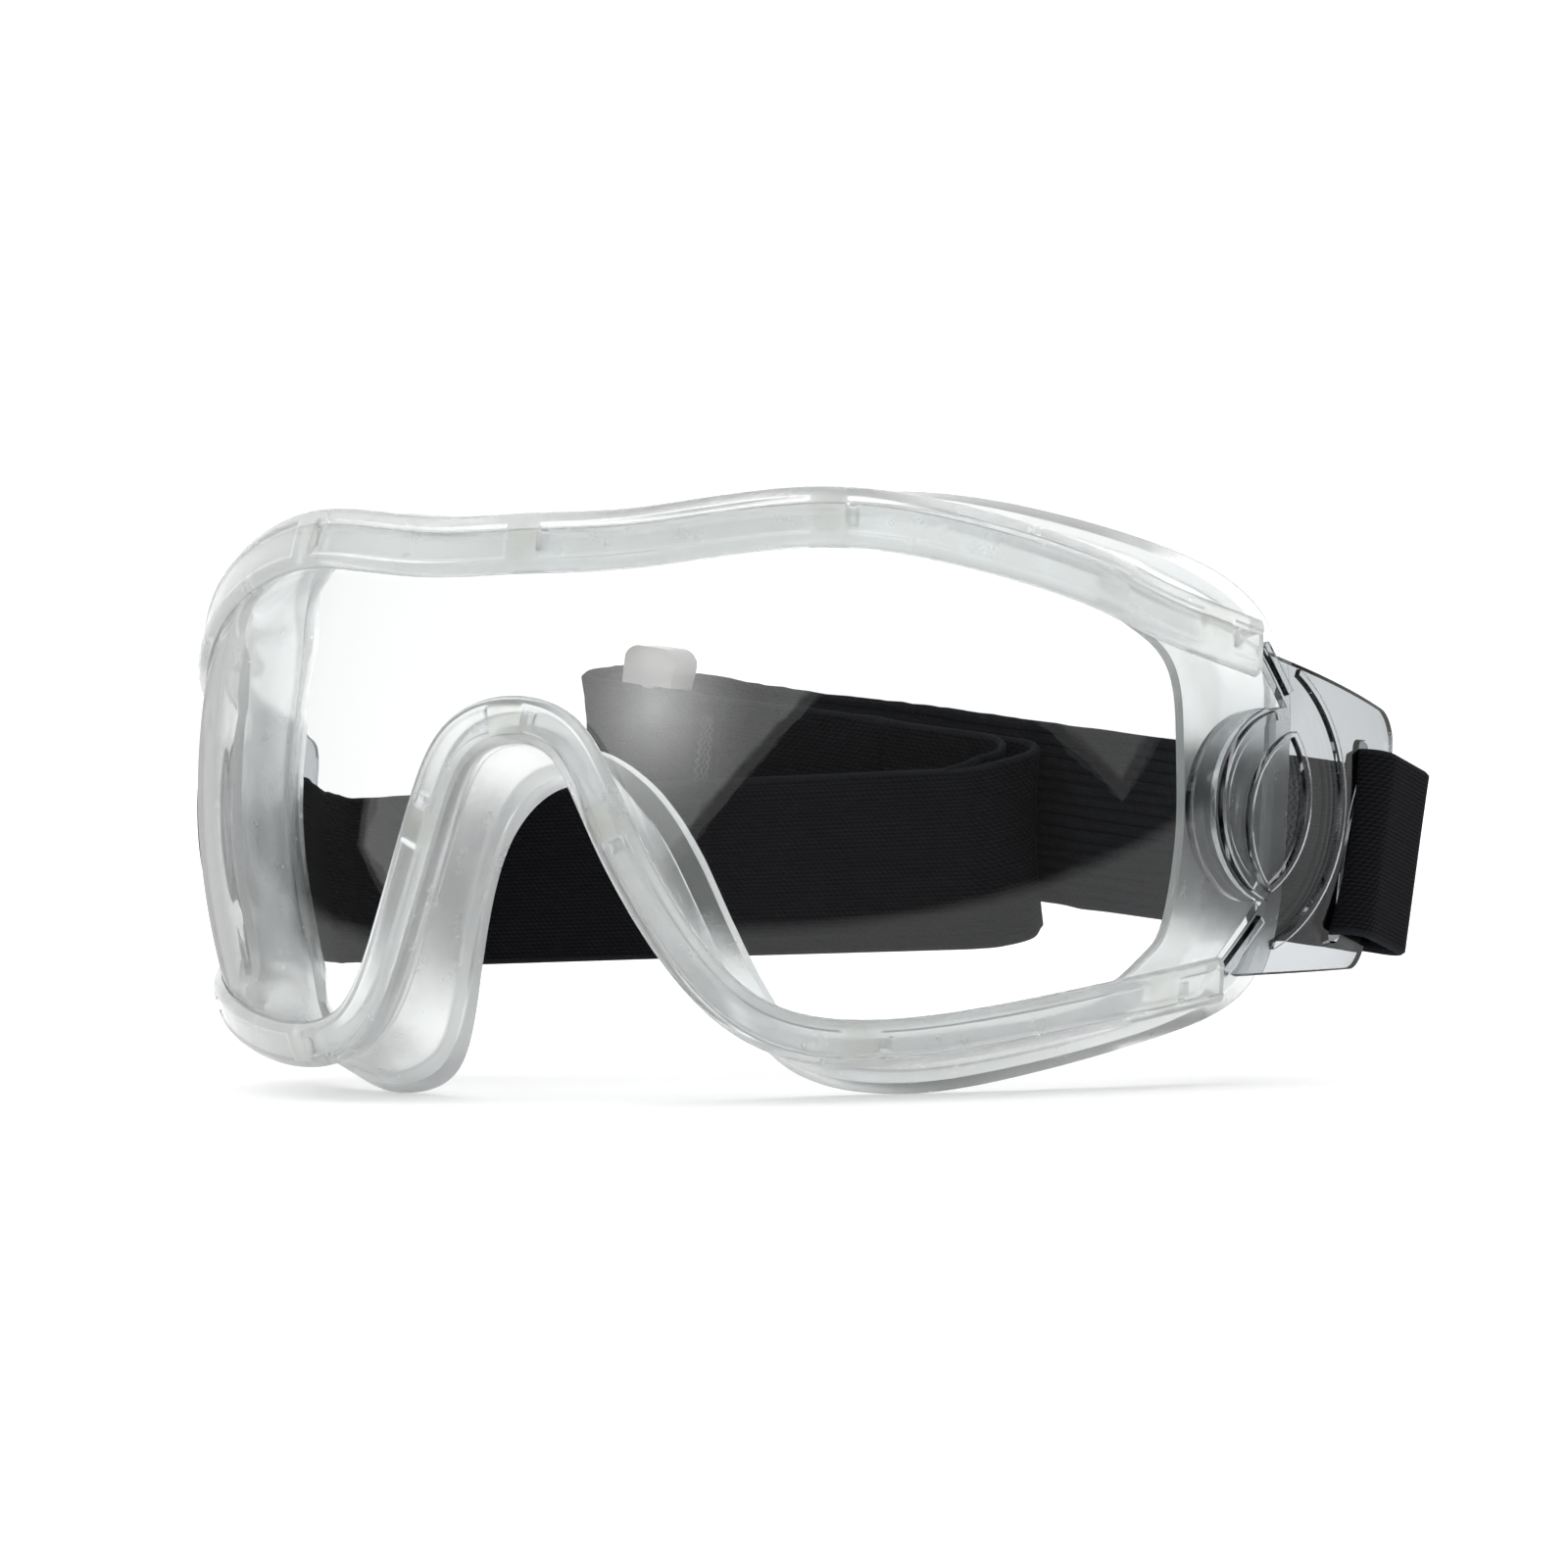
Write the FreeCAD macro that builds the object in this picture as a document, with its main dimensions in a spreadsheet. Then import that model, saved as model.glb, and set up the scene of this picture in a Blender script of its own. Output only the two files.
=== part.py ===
import FreeCAD, Part
import math
import os
from FreeCAD import Placement, Rotation, Vector

# Sports protective goggles: a wrap lens of clear polycarbonate, a soft translucent frame that seals
# on the face, a clear strap plate at each temple, and a 25 mm elastic headband with one slider.
# Millimetres. +X is the wearer's left, the front looks along -Y, +Z is up.
# Design coordinates: the foremost point of the lens is at X = 0, Y = 0, Z = 0. The last step moves
# the whole object so that the middle of its footprint stands on the origin.

sizeTable = [
    ("lensRadius", 85.5, "plan radius of the outer face of the lens"),
    ("profileRadius", 100.0, "upright radius of the outer face of the lens"),
    ("lensThickness", 2.0, "wall of the lens"),
    ("lensBite", 1.6, "lens edge beyond the middle line of the rail"),
    ("fitGap", 0.15, "clearance between lens, plates and frame"),
    ("browHeight", 34.9, "rail middle line at its highest, over each eye"),
    ("browDip", 2.1, "drop of the rail from the highest place to the middle"),
    ("noseHeight", 10.3, "rail middle line over the nose"),
    ("noseHalfWidth", 15.0, "half width of the nose gap at half height, along the lens"),
    ("cheekDrop", 31.6, "rail middle line at its lowest, under each eye"),
    ("cheekReach", 47.0, "lowest place of the rail, along the lens from the middle"),
    ("templeReach", 94.5, "side wall of the frame, along the lens from the middle"),
    ("browRailHalf", 3.9, "half width of the upper rail"),
    ("cheekRailHalf", 3.0, "half width of the lower rail"),
    ("lipThickness", 1.8, "frame lip in front of the lens"),
    ("wallThickness", 2.2, "side wall of the frame"),
    ("skirtDepth", 15.5, "frame from the lens back to the face, at the front"),
    ("templeDepth", 20.0, "frame from the lens back to the face, at the temple"),
    ("rimWidth", 5.0, "face rim across"),
    ("rimThickness", 2.0, "face rim from front to back"),
    ("plateThickness", 2.2, "wall of the strap plate"),
    ("tongueThickness", 1.6, "tongue of the strap plate, behind the end of the lens"),
    ("tongueLap", 2.6, "tongue under the lens"),
    ("plateTop", 17.5, "front top corner of the strap plate"),
    ("plateMarginTop", 4.0, "strap plate beyond the upper edge of the headband"),
    ("plateMarginBottom", 4.5, "strap plate beyond the lower edge of the headband"),
    ("plateTail", 4.5, "straight run of the strap plate behind the curve, at its rear top corner"),
    ("barWidth", 8.0, "plate between slot and rear edge, which the strap goes round"),
    ("barSlant", 13.0, "lean of slot and rear edge, in degrees"),
    ("slotWidth", 3.0, "strap slot across"),
    ("slotRoom", 2.5, "strap slot longer than the headband is wide"),
    ("ribHeight", 0.8, "stiffening ribs above the plate"),
    ("ribWidth", 1.6, "stiffening ribs across"),
    ("strapWidth", 25.0, "elastic headband across"),
    ("strapThickness", 1.4, "elastic headband through"),
    ("strapHeight", -8.0, "middle of the headband at the plates"),
    ("plyGap", 0.5, "space between two plies of the folded headband"),
    ("barGap", 1.2, "space between the headband and the plate"),
    ("foldReach", 30.0, "place of the right fold of the headband, from the middle"),
    ("foldLeft", 43.0, "place of the left fold of the headband, from the middle"),
    ("sliderPlace", 32.0, "slider from the middle"),
    ("sliderWidth", 8.0, "slider along the strap"),
    ("sliderBar", 2.2, "middle bar of the slider across"),
    ("sliderEndBar", 1.2, "outer bars of the slider across"),
    ("sliderBarThickness", 1.3, "bars of the slider through"),
    ("sliderCap", 5.6, "slider beyond each edge of the strap"),
    ("sliderCorner", 2.2, "rounding of the slider's corners"),
    ("slideGap", 0.3, "clearance between slider and strap"),
    ("slideTravel", 20.0, "way of the slider along the strap"),
    ("stitchWidth", 20.0, "bar tack across the strap"),
    ("stitchLength", 2.4, "bar tack along the strap"),
    ("stitchThickness", 0.3, "bar tack above the strap"),
]

doc = FreeCAD.newDocument("goggles")
sheet = doc.addObject("Spreadsheet::Sheet", "Sizes")
for row, (alias, value, note) in enumerate(sizeTable, 1):
    sheet.set(f"A{row}", note)
    sheet.set(f"B{row}", str(value))
    sheet.setAlias(f"B{row}", alias)
doc.recompute()


def size(alias):
    return float(sheet.get(alias))


# ---- the lens surface and the lines on it -------------------------------------------------------

lensRadius = size("lensRadius")
profileRadius = size("profileRadius")
lensThickness = size("lensThickness")
fitGap = size("fitGap")


def shellPoint(reach, height, lift=0.0, back=0.0):
    """A point over the lens: reach runs round it from the middle, lift leaves its outer face."""
    tilt = math.asin(height / profileRadius)
    radius = lensRadius - profileRadius + (profileRadius + lift) * math.cos(tilt)
    turn = min(abs(reach) / lensRadius, math.pi / 2)
    straight = abs(reach) - turn * lensRadius
    x = math.copysign(radius * math.sin(turn), reach)
    y = lensRadius - radius * math.cos(turn) + straight
    return Vector(x, y + back, (profileRadius + lift) * math.sin(tilt))


sameWay = 1    # a ruled surface runs along both its edges from start to end


def smoothCurve(points, closed=False, places=()):
    """A smooth line through the points, which lie at the given places along it, or evenly."""
    curve = Part.BSplineCurve()
    steps = len(points) + (1 if closed else 0)
    places = list(places) or [float(k) for k in range(steps)]
    curve.interpolate(Points=points, PeriodicFlag=closed, Parameters=places)
    return curve


def mirrored(half):
    """The whole line over both sides of a half line that starts on the middle plane."""
    return [(-reach, height) for reach, height in half[:0:-1]] + half


browHeight = size("browHeight")
browMiddle = browHeight - size("browDip")
noseHeight = size("noseHeight")
noseHalf = size("noseHalfWidth")
cheekDrop = size("cheekDrop")
cheekReach = size("cheekReach")
templeReach = size("templeReach")
browBump = 0.39 * templeReach
tongueThickness = size("tongueThickness")
lipEnd = templeReach + 10.5

# Half lines on the lens, as (reach, height). The rails hold the edge of the lens.
upperRailHalf = [
    (0.0, browMiddle),
    (0.45 * browBump, browMiddle + 0.2),
    (browBump, browHeight),
    (0.60 * templeReach, browHeight - 1.6),
    (0.83 * templeReach, browHeight - 7.7),
    (0.95 * templeReach, browHeight - 12.7),
]
lowerRailHalf = [
    (0.0, noseHeight),
    (noseHalf - 6.7, noseHeight - 3.2),
    (noseHalf - 1.0, noseHeight - 14.3),
    (noseHalf + 6.7, 13.1 - cheekDrop),
    (noseHalf + 16.0, 3.4 - cheekDrop),
    (cheekReach - 4.0, -cheekDrop),
    (cheekReach + 12.0, 0.6 - cheekDrop),
    (templeReach - 15.0, 3.6 - cheekDrop),
]
# The side wall joins the two rails behind the end of the lens.
sideWall = [
    (templeReach + 0.6, browHeight - 20.0),
    (templeReach, 0.0),
    (templeReach - 2.0, 0.55 * -cheekDrop),
    (templeReach - 5.5, 8.0 - cheekDrop),
]
# Outer edge of the face rim, point for point behind the rails and the side wall.
rimHalf = [
    (0.0, browMiddle + 4.4),
    (0.45 * browBump, browMiddle + 4.9),
    (browBump, browHeight + 4.7),
    (0.60 * templeReach + 2.0, browHeight + 3.6),
    (0.83 * templeReach + 4.0, browHeight - 2.4),
    (0.95 * templeReach + 6.0, browHeight - 9.0),
    (templeReach + 6.0, browHeight - 18.5),
    (templeReach + 4.5, 0.0),
    (templeReach + 3.5, 0.60 * -cheekDrop),
    (templeReach - 1.0, 2.5 - cheekDrop),
    (templeReach - 15.0, -2.6 - cheekDrop),
    (cheekReach + 11.0, -7.2 - cheekDrop),
    (cheekReach - 5.0, -8.4 - cheekDrop),
    (noseHalf + 12.0, -4.0 - cheekDrop),
    (noseHalf + 3.0, 10.0 - cheekDrop),
    (noseHalf - 2.5, noseHeight - 19.0),
    (noseHalf - 8.2, noseHeight - 11.5),
    (0.0, noseHeight - 8.6),
]


def stationsOn(points, count, closed=False):
    """Even stations on a smooth line, each with the direction to its left."""
    curve = smoothCurve([Vector(reach, height, 0) for reach, height in points], closed)
    first, last = curve.FirstParameter, curve.LastParameter
    steps = count if closed else count - 1
    stations = []
    for k in range(count):
        place = min(first + (last - first) * k / steps, last)
        along = curve.tangent(place)[0]
        stations.append((curve.value(place), Vector(-along.y, along.x, 0)))
    return stations


def ring(half):
    """The closed line over a half line that runs from middle plane to middle plane."""
    return half + [(-reach, height) for reach, height in half[-2:0:-1]]


ringCount = 120
ringLine = stationsOn(ring(upperRailHalf + sideWall + lowerRailHalf[::-1]), ringCount, closed=True)
rimLine = stationsOn(ring(rimHalf), ringCount, closed=True)
upperLine = stationsOn(mirrored(upperRailHalf + [(lipEnd, browHeight - 17.4)]), 61)
lowerLine = stationsOn(mirrored(lowerRailHalf + [(templeReach + 3.5, 6.4 - cheekDrop)]), 81)


def offLine(station, outward, lift=0.0, back=0.0):
    place, side = station
    moved = place + side * outward
    return shellPoint(moved.x, moved.y, lift, back)


def smoothStep(low, high, value):
    share = min(max((value - low) / (high - low), 0.0), 1.0)
    return share * share * (3.0 - 2.0 * share)


def ruledSolid(rails, caps=(), places=()):
    """The solid whose section has one corner on each rail. Open rails end in caps of triangles."""
    edges = [smoothCurve(rail, not caps, places).toShape() for rail in rails]
    faces = [Part.makeRuledSurface(a, b, sameWay) for a, b in zip(edges, edges[1:] + edges[:1])]
    for end in (0, -1):
        for trio in caps:
            corners = [rails[k][end] for k in trio]
            faces.append(Part.Face(Part.makePolygon(corners + corners[:1])))
    skin = Part.makeShell(faces)
    skin.sewShape()
    solid = Part.Solid(Part.Shell(skin.Faces))
    if solid.Volume < 0:
        solid.reverse()
    return solid


# ---- soft frame ---------------------------------------------------------------------------------

def skirtShape():
    """Rear lip, side wall and face rim, one closed ring."""
    wall = size("wallThickness")
    rimWidth = size("rimWidth")
    rimThickness = size("rimThickness")
    rails = [[] for _ in range(8)]
    for station, rim in zip(ringLine, rimLine):
        place = station[0]
        upper = smoothStep(-8.0, 8.0, place.y) if abs(place.x) > noseHalf + 6.0 or place.y > 20.0 else 0.0
        half = size("cheekRailHalf") + upper * (size("browRailHalf") - size("cheekRailHalf")) - 0.4
        temple = smoothStep(templeReach - 14.0, templeReach - 5.0, abs(place.x))
        front = -lensThickness - fitGap - temple * (tongueThickness + fitGap)
        deep = size("skirtDepth")
        deep += smoothStep(0.5 * templeReach, templeReach, abs(place.x)) * (size("templeDepth") - deep)
        rails[0].append(offLine(station, 1.6 - half, front))
        rails[1].append(offLine(station, half, front))
        rails[2].append(offLine(rim, -2.4, -lensThickness, deep * 0.72))
        rails[3].append(offLine(rim, 0.0, -lensThickness, deep - 0.4))
        rails[4].append(offLine(rim, -rimWidth, -lensThickness, deep + 1.0))
        rails[5].append(offLine(rim, -rimWidth, -lensThickness, deep + 1.0 - rimThickness))
        rails[6].append(offLine(station, half - wall, front - 1.6))
        rails[7].append(offLine(station, 1.6 - half, front - 1.6))
    return ruledSolid(rails)


def lipShape(line, half):
    """Front lip and the wall of the groove that holds the edge of the lens."""
    lip = size("lipThickness")
    bite = size("lensBite") + fitGap
    section = [
        (-half, lip), (half, lip), (half, -lensThickness - 1.2),
        (bite, -lensThickness - 1.2), (bite, fitGap), (-half, fitGap),
    ]
    rails = [[offLine(station, across, lift) for station in line] for across, lift in section]
    return ruledSolid(rails, caps=((0, 1, 4), (0, 4, 5), (1, 2, 3), (1, 3, 4)))


def frameShape():
    lower = [(place, -side) for place, side in lowerLine]
    upperLip = lipShape(upperLine, size("browRailHalf"))
    return skirtShape().fuse(upperLip).fuse(lipShape(lower, size("cheekRailHalf")))


# ---- lens and strap plates ----------------------------------------------------------------------

def clearShell(outer, inner, fromTurn, toTurn, straight):
    """A wall of the lens surface between two depths below its outer face, round the upright axis."""
    spread = math.asin((browHeight + 8.0) / profileRadius)

    def at(depth, tilt):
        radius = profileRadius - depth
        return Vector(0, profileRadius - radius * math.cos(tilt), radius * math.sin(tilt))

    front = Part.Arc(at(outer, -spread), at(outer, 0), at(outer, spread)).toShape()
    rear = Part.Arc(at(inner, -spread), at(inner, 0), at(inner, spread)).toShape()
    ends = [Part.makeLine(at(outer, tilt), at(inner, tilt)) for tilt in (-spread, spread)]
    face = Part.Face(Part.Wire(Part.__sortEdges__([front, rear] + ends)))
    axis = Vector(0, lensRadius, 0)
    up = Vector(0, 0, 1)
    start = face.copy()
    start.rotate(axis, up, fromTurn)
    shell = start.revolve(axis, up, toTurn - fromTurn)
    if straight:
        end = face.copy()
        end.rotate(axis, up, toTurn)
        shell = shell.fuse(end.extrude(Vector(0, straight, 0)))
    return shell


def trimmed(shell, outline, inside):
    """The piece of the shell that the outline encloses. The outline is a list of smooth lines."""
    fences = []
    for line in outline:
        over = smoothCurve([shellPoint(reach, height, 4.0) for reach, height in line]).toShape()
        under = smoothCurve([shellPoint(reach, height, -8.0) for reach, height in line]).toShape()
        fences.append(Part.makeRuledSurface(over, under, sameWay))
    pieces = shell.generalFuse(fences)[0].Solids
    return min(pieces, key=lambda piece: piece.distToShape(Part.Vertex(inside))[0])


def straightLine(a, b, count=8):
    return [(a[0] + (b[0] - a[0]) * k / count, a[1] + (b[1] - a[1]) * k / count)
            for k in range(count + 1)]


def arcLine(a, middle, b, count=16):
    """Points on the arc through three points."""
    arc = Part.Arc(*[Vector(reach, height, 0) for reach, height in (a, middle, b)])
    return [(point.x, point.y) for point in arc.discretize(Number=count + 1)]


def reversedLines(lines):
    return [line[::-1] for line in lines[::-1]]


# The lens meets the strap plate along a slanted bar, a round arc and a second bar.
seamTop = (templeReach + 11.0, size("plateTop"))
seamUpper = (templeReach + 15.3, size("plateTop") - 7.7)
seamMiddle = (templeReach + 1.1, -4.0)
seamLower = (templeReach + 10.3, -15.5)
seamBottom = (templeReach + 3.2, 8.1 - cheekDrop)


def seamLines(shift=0.0):
    """The seam of the wearer's left side, from top to bottom, moved along the lens."""
    def moved(point):
        return (point[0] + shift, point[1])
    return [
        straightLine(moved(seamTop), moved(seamUpper)),
        arcLine(moved(seamUpper), moved(seamMiddle), moved(seamLower)),
        straightLine(moved(seamLower), moved(seamBottom)),
    ]


def edgeLine(line, outward):
    return [(place.x + side.x * outward, place.y + side.y * outward) for place, side in line]


def lensShape():
    bite = size("lensBite")
    top = edgeLine(upperLine[2:-2], bite)
    bottom = edgeLine(lowerLine[1:-1], -bite)
    right = seamLines()
    left = [[(-reach, height) for reach, height in line] for line in reversedLines(right)]
    outline = [top, straightLine(top[-1], seamTop)] + right
    outline += [straightLine(seamBottom, bottom[-1]), bottom[::-1]]
    outline += [straightLine(bottom[0], (-seamBottom[0], seamBottom[1]))] + left
    outline += [straightLine((-seamTop[0], seamTop[1]), top[0])]
    shell = clearShell(0.0, lensThickness, -84.0, 84.0, 0.0)
    return trimmed(shell, outline, shellPoint(0.0, 20.0, -0.5 * lensThickness))


quarter = 0.5 * math.pi * lensRadius
barLean = math.tan(math.radians(size("barSlant")))
strapWidth = size("strapWidth")
strapHeight = size("strapHeight")
plateBottom = strapHeight - 0.5 * strapWidth - size("plateMarginBottom")
plateRearTop = strapHeight + 0.5 * strapWidth + size("plateMarginTop")
plateEnd = lensRadius + size("plateTail")


def rearEdge(height):
    """How far behind the lens front the slanted rear edge of a plate is."""
    return plateEnd - (plateRearTop - height) * barLean


def slotMiddle(height):
    lean = math.cos(math.radians(size("barSlant")))
    return rearEdge(height) - (size("barWidth") + 0.5 * size("slotWidth")) / lean


def roundedLines(points):
    """Straight lines through (reach, height, radius) corners, with arcs where a radius is given."""
    lines = []
    start = points[0][:2]
    for (ax, ay, _), (bx, by, radius), (cx, cy, _) in zip(points, points[1:], points[2:]):
        toA = Vector(ax - bx, ay - by, 0).normalize()
        toC = Vector(cx - bx, cy - by, 0).normalize()
        corner = Vector(bx, by, 0)
        if radius:
            half = 0.5 * toA.getAngle(toC)
            reach = radius / math.tan(half)
            bisector = (toA + toC).normalize()
            tip = corner + bisector * (radius / math.sin(half) - radius)
            entry, leave = corner + toA * reach, corner + toC * reach
            lines.append(straightLine(start, (entry.x, entry.y)))
            lines.append(arcLine((entry.x, entry.y), (tip.x, tip.y), (leave.x, leave.y)))
            start = (leave.x, leave.y)
        else:
            lines.append(straightLine(start, (bx, by)))
            start = (bx, by)
    lines.append(straightLine(start, points[-1][:2]))
    return lines


def ribShape(line, width):
    """A low rib along a line on the plate."""
    rise = size("ribHeight")
    stations = stationsOn(line, 25)
    section = [(-0.5 * width, -0.4), (0.5 * width, -0.4), (0.35 * width, rise), (-0.35 * width, rise)]
    rails = [[offLine(station, across, lift) for station in stations] for across, lift in section]
    return ruledSolid(rails, caps=((0, 1, 2), (0, 2, 3)))


def plateShape():
    """The wearer's left strap plate, with its slot, ribs and the tongue behind the lens."""
    seam = seamLines(fitGap)
    start, end = seam[0][0], seam[-1][-1]
    flat = quarter - lensRadius
    corners = [
        (end[0], end[1], 0.0),
        (end[0] + 3.5, plateBottom, 0.0),
        (flat + rearEdge(plateBottom), plateBottom, 3.0),
        (flat + rearEdge(plateRearTop), plateRearTop, 4.0),
        (start[0], start[1], 0.0),
    ]
    straight = size("plateTail") + 4.0
    shell = clearShell(0.0, size("plateThickness"), 55.0, 90.0, straight)
    plate = trimmed(shell, seam + roundedLines(corners), shellPoint(seamUpper[0] + 10.0, 0.0, -1.0))

    length, width = strapWidth + size("slotRoom"), size("slotWidth")
    slot = Part.makeBox(20.0, width, length, Vector(-10.0, -0.5 * width, -0.5 * length))
    upright = [edge for edge in slot.Edges if abs(edge.tangentAt(edge.FirstParameter).x) > 0.9]
    slot = slot.makeFillet(0.49 * width, upright)
    slot.Placement = Placement(Vector(lensRadius, slotMiddle(strapHeight), strapHeight),
                               Rotation(Vector(1, 0, 0), -size("barSlant")))
    plate = plate.cut(slot)

    lap = size("tongueLap")
    upper, lower = seamLines(-lap)[1], seamLines(lap)[1]
    outline = [upper, straightLine(upper[-1], lower[-1]), lower[::-1], straightLine(lower[0], upper[0])]
    behind = lensThickness + fitGap
    tongue = trimmed(clearShell(behind, behind + tongueThickness, 50.0, 89.0, 0.0), outline,
                     shellPoint(seamMiddle[0], seamMiddle[1], -behind - 0.5 * tongueThickness))
    plate = plate.fuse(tongue)

    wide = size("ribWidth")
    bar, arc, lowBar = [edgeLine(stationsOn(line, 25), 0.68 * wide) for line in seamLines(fitGap)]
    eyeTop, eyeBottom = (seamUpper[0] + 0.5, seamUpper[1] - 3.5), (seamLower[0] + 0.6, seamLower[1] + 1.8)
    ribs = [
        (bar[:-4], wide), (arc[2:-2], wide), (lowBar[4:], wide),
        (arcLine(eyeTop, (seamMiddle[0] + 5.8, -4.0), eyeBottom), 0.5 * wide),
        (arcLine(eyeTop, (seamMiddle[0] + 17.2, -3.0), eyeBottom), 0.8 * wide),
        (arcLine((seamUpper[0] + 2.8, seamUpper[1] + 4.5), (seamMiddle[0] + 25.3, -3.0),
                 (seamLower[0] + 2.4, seamLower[1] - 5.6)), 0.8 * wide),
    ]
    for line, width in ribs:
        plate = plate.fuse(ribShape(line, width))
    return plate


# ---- headband -----------------------------------------------------------------------------------

strapThickness = size("strapThickness")
pitch = strapThickness + size("plyGap")


def gradedSteps(length, fine):
    """Places along a straight run, close together at its ends and further apart in its middle."""
    steps = []
    reach, step = fine, fine
    while reach < 0.5 * length:
        steps.append(reach)
        step *= 1.5
        reach += step
    return steps + [length - place for place in steps[::-1]]


def route(corners):
    """Points along straight runs joined by arcs. A corner is (x, y, z, radius)."""
    points = [Vector(*corners[0][:3])]

    def runTo(target):
        way = target - points[-1]
        start = points[-1]
        if way.Length > 0.05:
            points.extend(start + way * (step / way.Length) for step in gradedSteps(way.Length, 0.5))
            points.append(target)

    for before, at, after in zip(corners, corners[1:], corners[2:]):
        corner = Vector(*at[:3])
        toA = (Vector(*before[:3]) - corner).normalize()
        toC = (Vector(*after[:3]) - corner).normalize()
        half = 0.5 * toA.getAngle(toC)
        reach = at[3] / math.tan(half)
        tip = corner + (toA + toC).normalize() * (at[3] / math.sin(half) - at[3])
        entry, leave = corner + toA * reach, corner + toC * reach
        runTo(entry)
        turn = math.pi - 2.0 * half
        steps = max(int(turn / math.radians(15.0)), 2)
        points.extend(Part.Arc(entry, tip, leave).discretize(Number=steps + 1)[1:])
    runTo(Vector(*corners[-1][:3]))
    return points


def ribbonShape(points, upAt, width=strapWidth, thickness=strapThickness):
    """A band along the points, its width along the upright that upAt gives at each point."""
    rails = [[] for _ in range(4)]
    places = [0.0]
    for k, point in enumerate(points):
        before, after = points[max(k - 1, 0)], points[min(k + 1, len(points) - 1)]
        along = (after - before).normalize()
        up = upAt(point)
        across = (up - along * up.dot(along)).normalize() * (0.5 * width)
        face = along.cross(across).normalize() * (0.5 * thickness)
        for rail, (side, depth) in zip(rails, ((-1, -1), (1, -1), (1, 1), (-1, 1))):
            rail.append(point + across * side + face * depth)
        places.append(places[-1] + (after - point).Length)
    return ruledSolid(rails, caps=((0, 1, 2), (0, 2, 3)), places=places[:-1])


plateSag = (0.5 * strapWidth) ** 2 / (2.0 * profileRadius)
barX = lensRadius - 0.5 * size("plateThickness") - 0.5 * plateSag - strapHeight ** 2 / (2.0 * profileRadius)
plySpread = 0.5 * (size("plateThickness") + strapThickness + plateSag) + size("barGap")
slotY = slotMiddle(strapHeight)
foldReach, foldLeft = size("foldReach"), size("foldLeft")
cornerY = slotY + size("barWidth") + 0.5 * size("slotWidth") + 4.4
middleY = cornerY + 7.2
middleInnerY = middleY - pitch
rearY = middleY + 8.5
slideRise = 0.153
slideLean = Vector(slideRise, 0.0, 1.0).normalize()


def middleHeight(x):
    """Height of the middle plies, which rise from the right fold to the left fold."""
    return -1.6 - slideRise * x


def headbandUp(point):
    """The band leans with the bars at the plates and stands upright between them."""
    share = smoothStep(barX - 22.0, barX - 6.0, abs(point.x))
    inward = math.copysign(-strapHeight / profileRadius, point.x)
    return Vector(share * inward, share * barLean, 1.0).normalize()


def headbandCorners():
    """From the end loop of the slider round the left bar, both folds and the right bar."""
    low = strapHeight - barLean * (cornerY + 2.5 - slotY)
    outX, inX = barX + plySpread, barX - plySpread
    turn = 0.99 * plySpread
    frontY = cornerY - 6.0
    innerFold = foldReach - 5.5
    looseEnd = 4.5 + size("slideTravel") - size("sliderPlace") + 0.5 * size("sliderWidth") + 9.0
    tailRun = 18.0
    foldHeight = middleHeight(-foldLeft) + 2.0
    rearStart = cornerY + 3.5
    slope = (rearY - rearStart) / (outX + foldLeft)
    climb = (foldHeight - low) / (outX + foldLeft)
    tailStart = rearStart - pitch + slope * (outX - inX)
    return [
        (looseEnd, middleInnerY, middleHeight(looseEnd), 0.0),
        (innerFold, middleInnerY, middleHeight(innerFold), 4.4),
        (innerFold, frontY + pitch, low + 2.4, 4.4),
        (-outX, cornerY + 2.5, low, 4.0),
        (-outX, slotY, strapHeight, turn),
        (-inX, slotY, strapHeight, turn),
        (-inX, cornerY, low, 3.0),
        (foldReach, frontY, low + 2.4, 6.2),
        (foldReach, middleY, middleHeight(foldReach), 6.2),
        (-foldLeft, middleY, middleHeight(-foldLeft), 4.0),
        (-foldLeft, rearY, foldHeight, 4.0),
        (outX, rearStart, low, 4.0),
        (outX, slotY, strapHeight, turn),
        (inX, slotY, strapHeight, turn),
        (inX, tailStart, low + climb * (outX - inX), 3.0),
        (inX - tailRun, tailStart + slope * tailRun, low + climb * (outX - inX + tailRun), 0.0),
    ]


def endLoopCorners():
    """The sewn end of the headband, round the middle bar of the slider."""
    place = -size("sliderPlace")
    left = place - 0.5 * size("sliderBar") - size("slideGap") - 0.5 * strapThickness
    frontY = middleInnerY - strapThickness - size("sliderBarThickness") - 2.0 * size("slideGap")
    tail = place + 0.5 * size("sliderWidth") + 9.0
    turn = 0.49 * (middleInnerY - frontY)
    sewnY = middleInnerY - pitch
    return [
        (tail, middleInnerY, middleHeight(tail), 0.0),
        (left, middleInnerY, middleHeight(left), turn),
        (left, frontY, middleHeight(left), turn),
        (place + 3.0, frontY, middleHeight(place + 3.0), 4.0),
        (place + 8.0, sewnY, middleHeight(place + 8.0), 4.0),
        (tail - 0.5, sewnY, middleHeight(tail - 0.5), 0.0),
    ]


def tackShape(corners, share, upAt):
    """A bar tack on the front face of the last straight run of a band."""
    start, end = Vector(*corners[-2][:3]), Vector(*corners[-1][:3])
    along = (end - start).normalize()
    up = upAt(end)
    front = up.cross(along).normalize()
    if front.y > 0:
        front = front * -1.0
    lift = 0.5 * strapThickness + 0.05 + 0.5 * size("stitchThickness")
    middle = start + (end - start) * share + front * lift
    half = along * (0.5 * size("stitchLength"))
    points = [middle - half, middle, middle + half]
    return ribbonShape(points, upAt, size("stitchWidth"), size("stitchThickness"))


# ---- the document's parts -----------------------------------------------------------------------

parts = []


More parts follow.
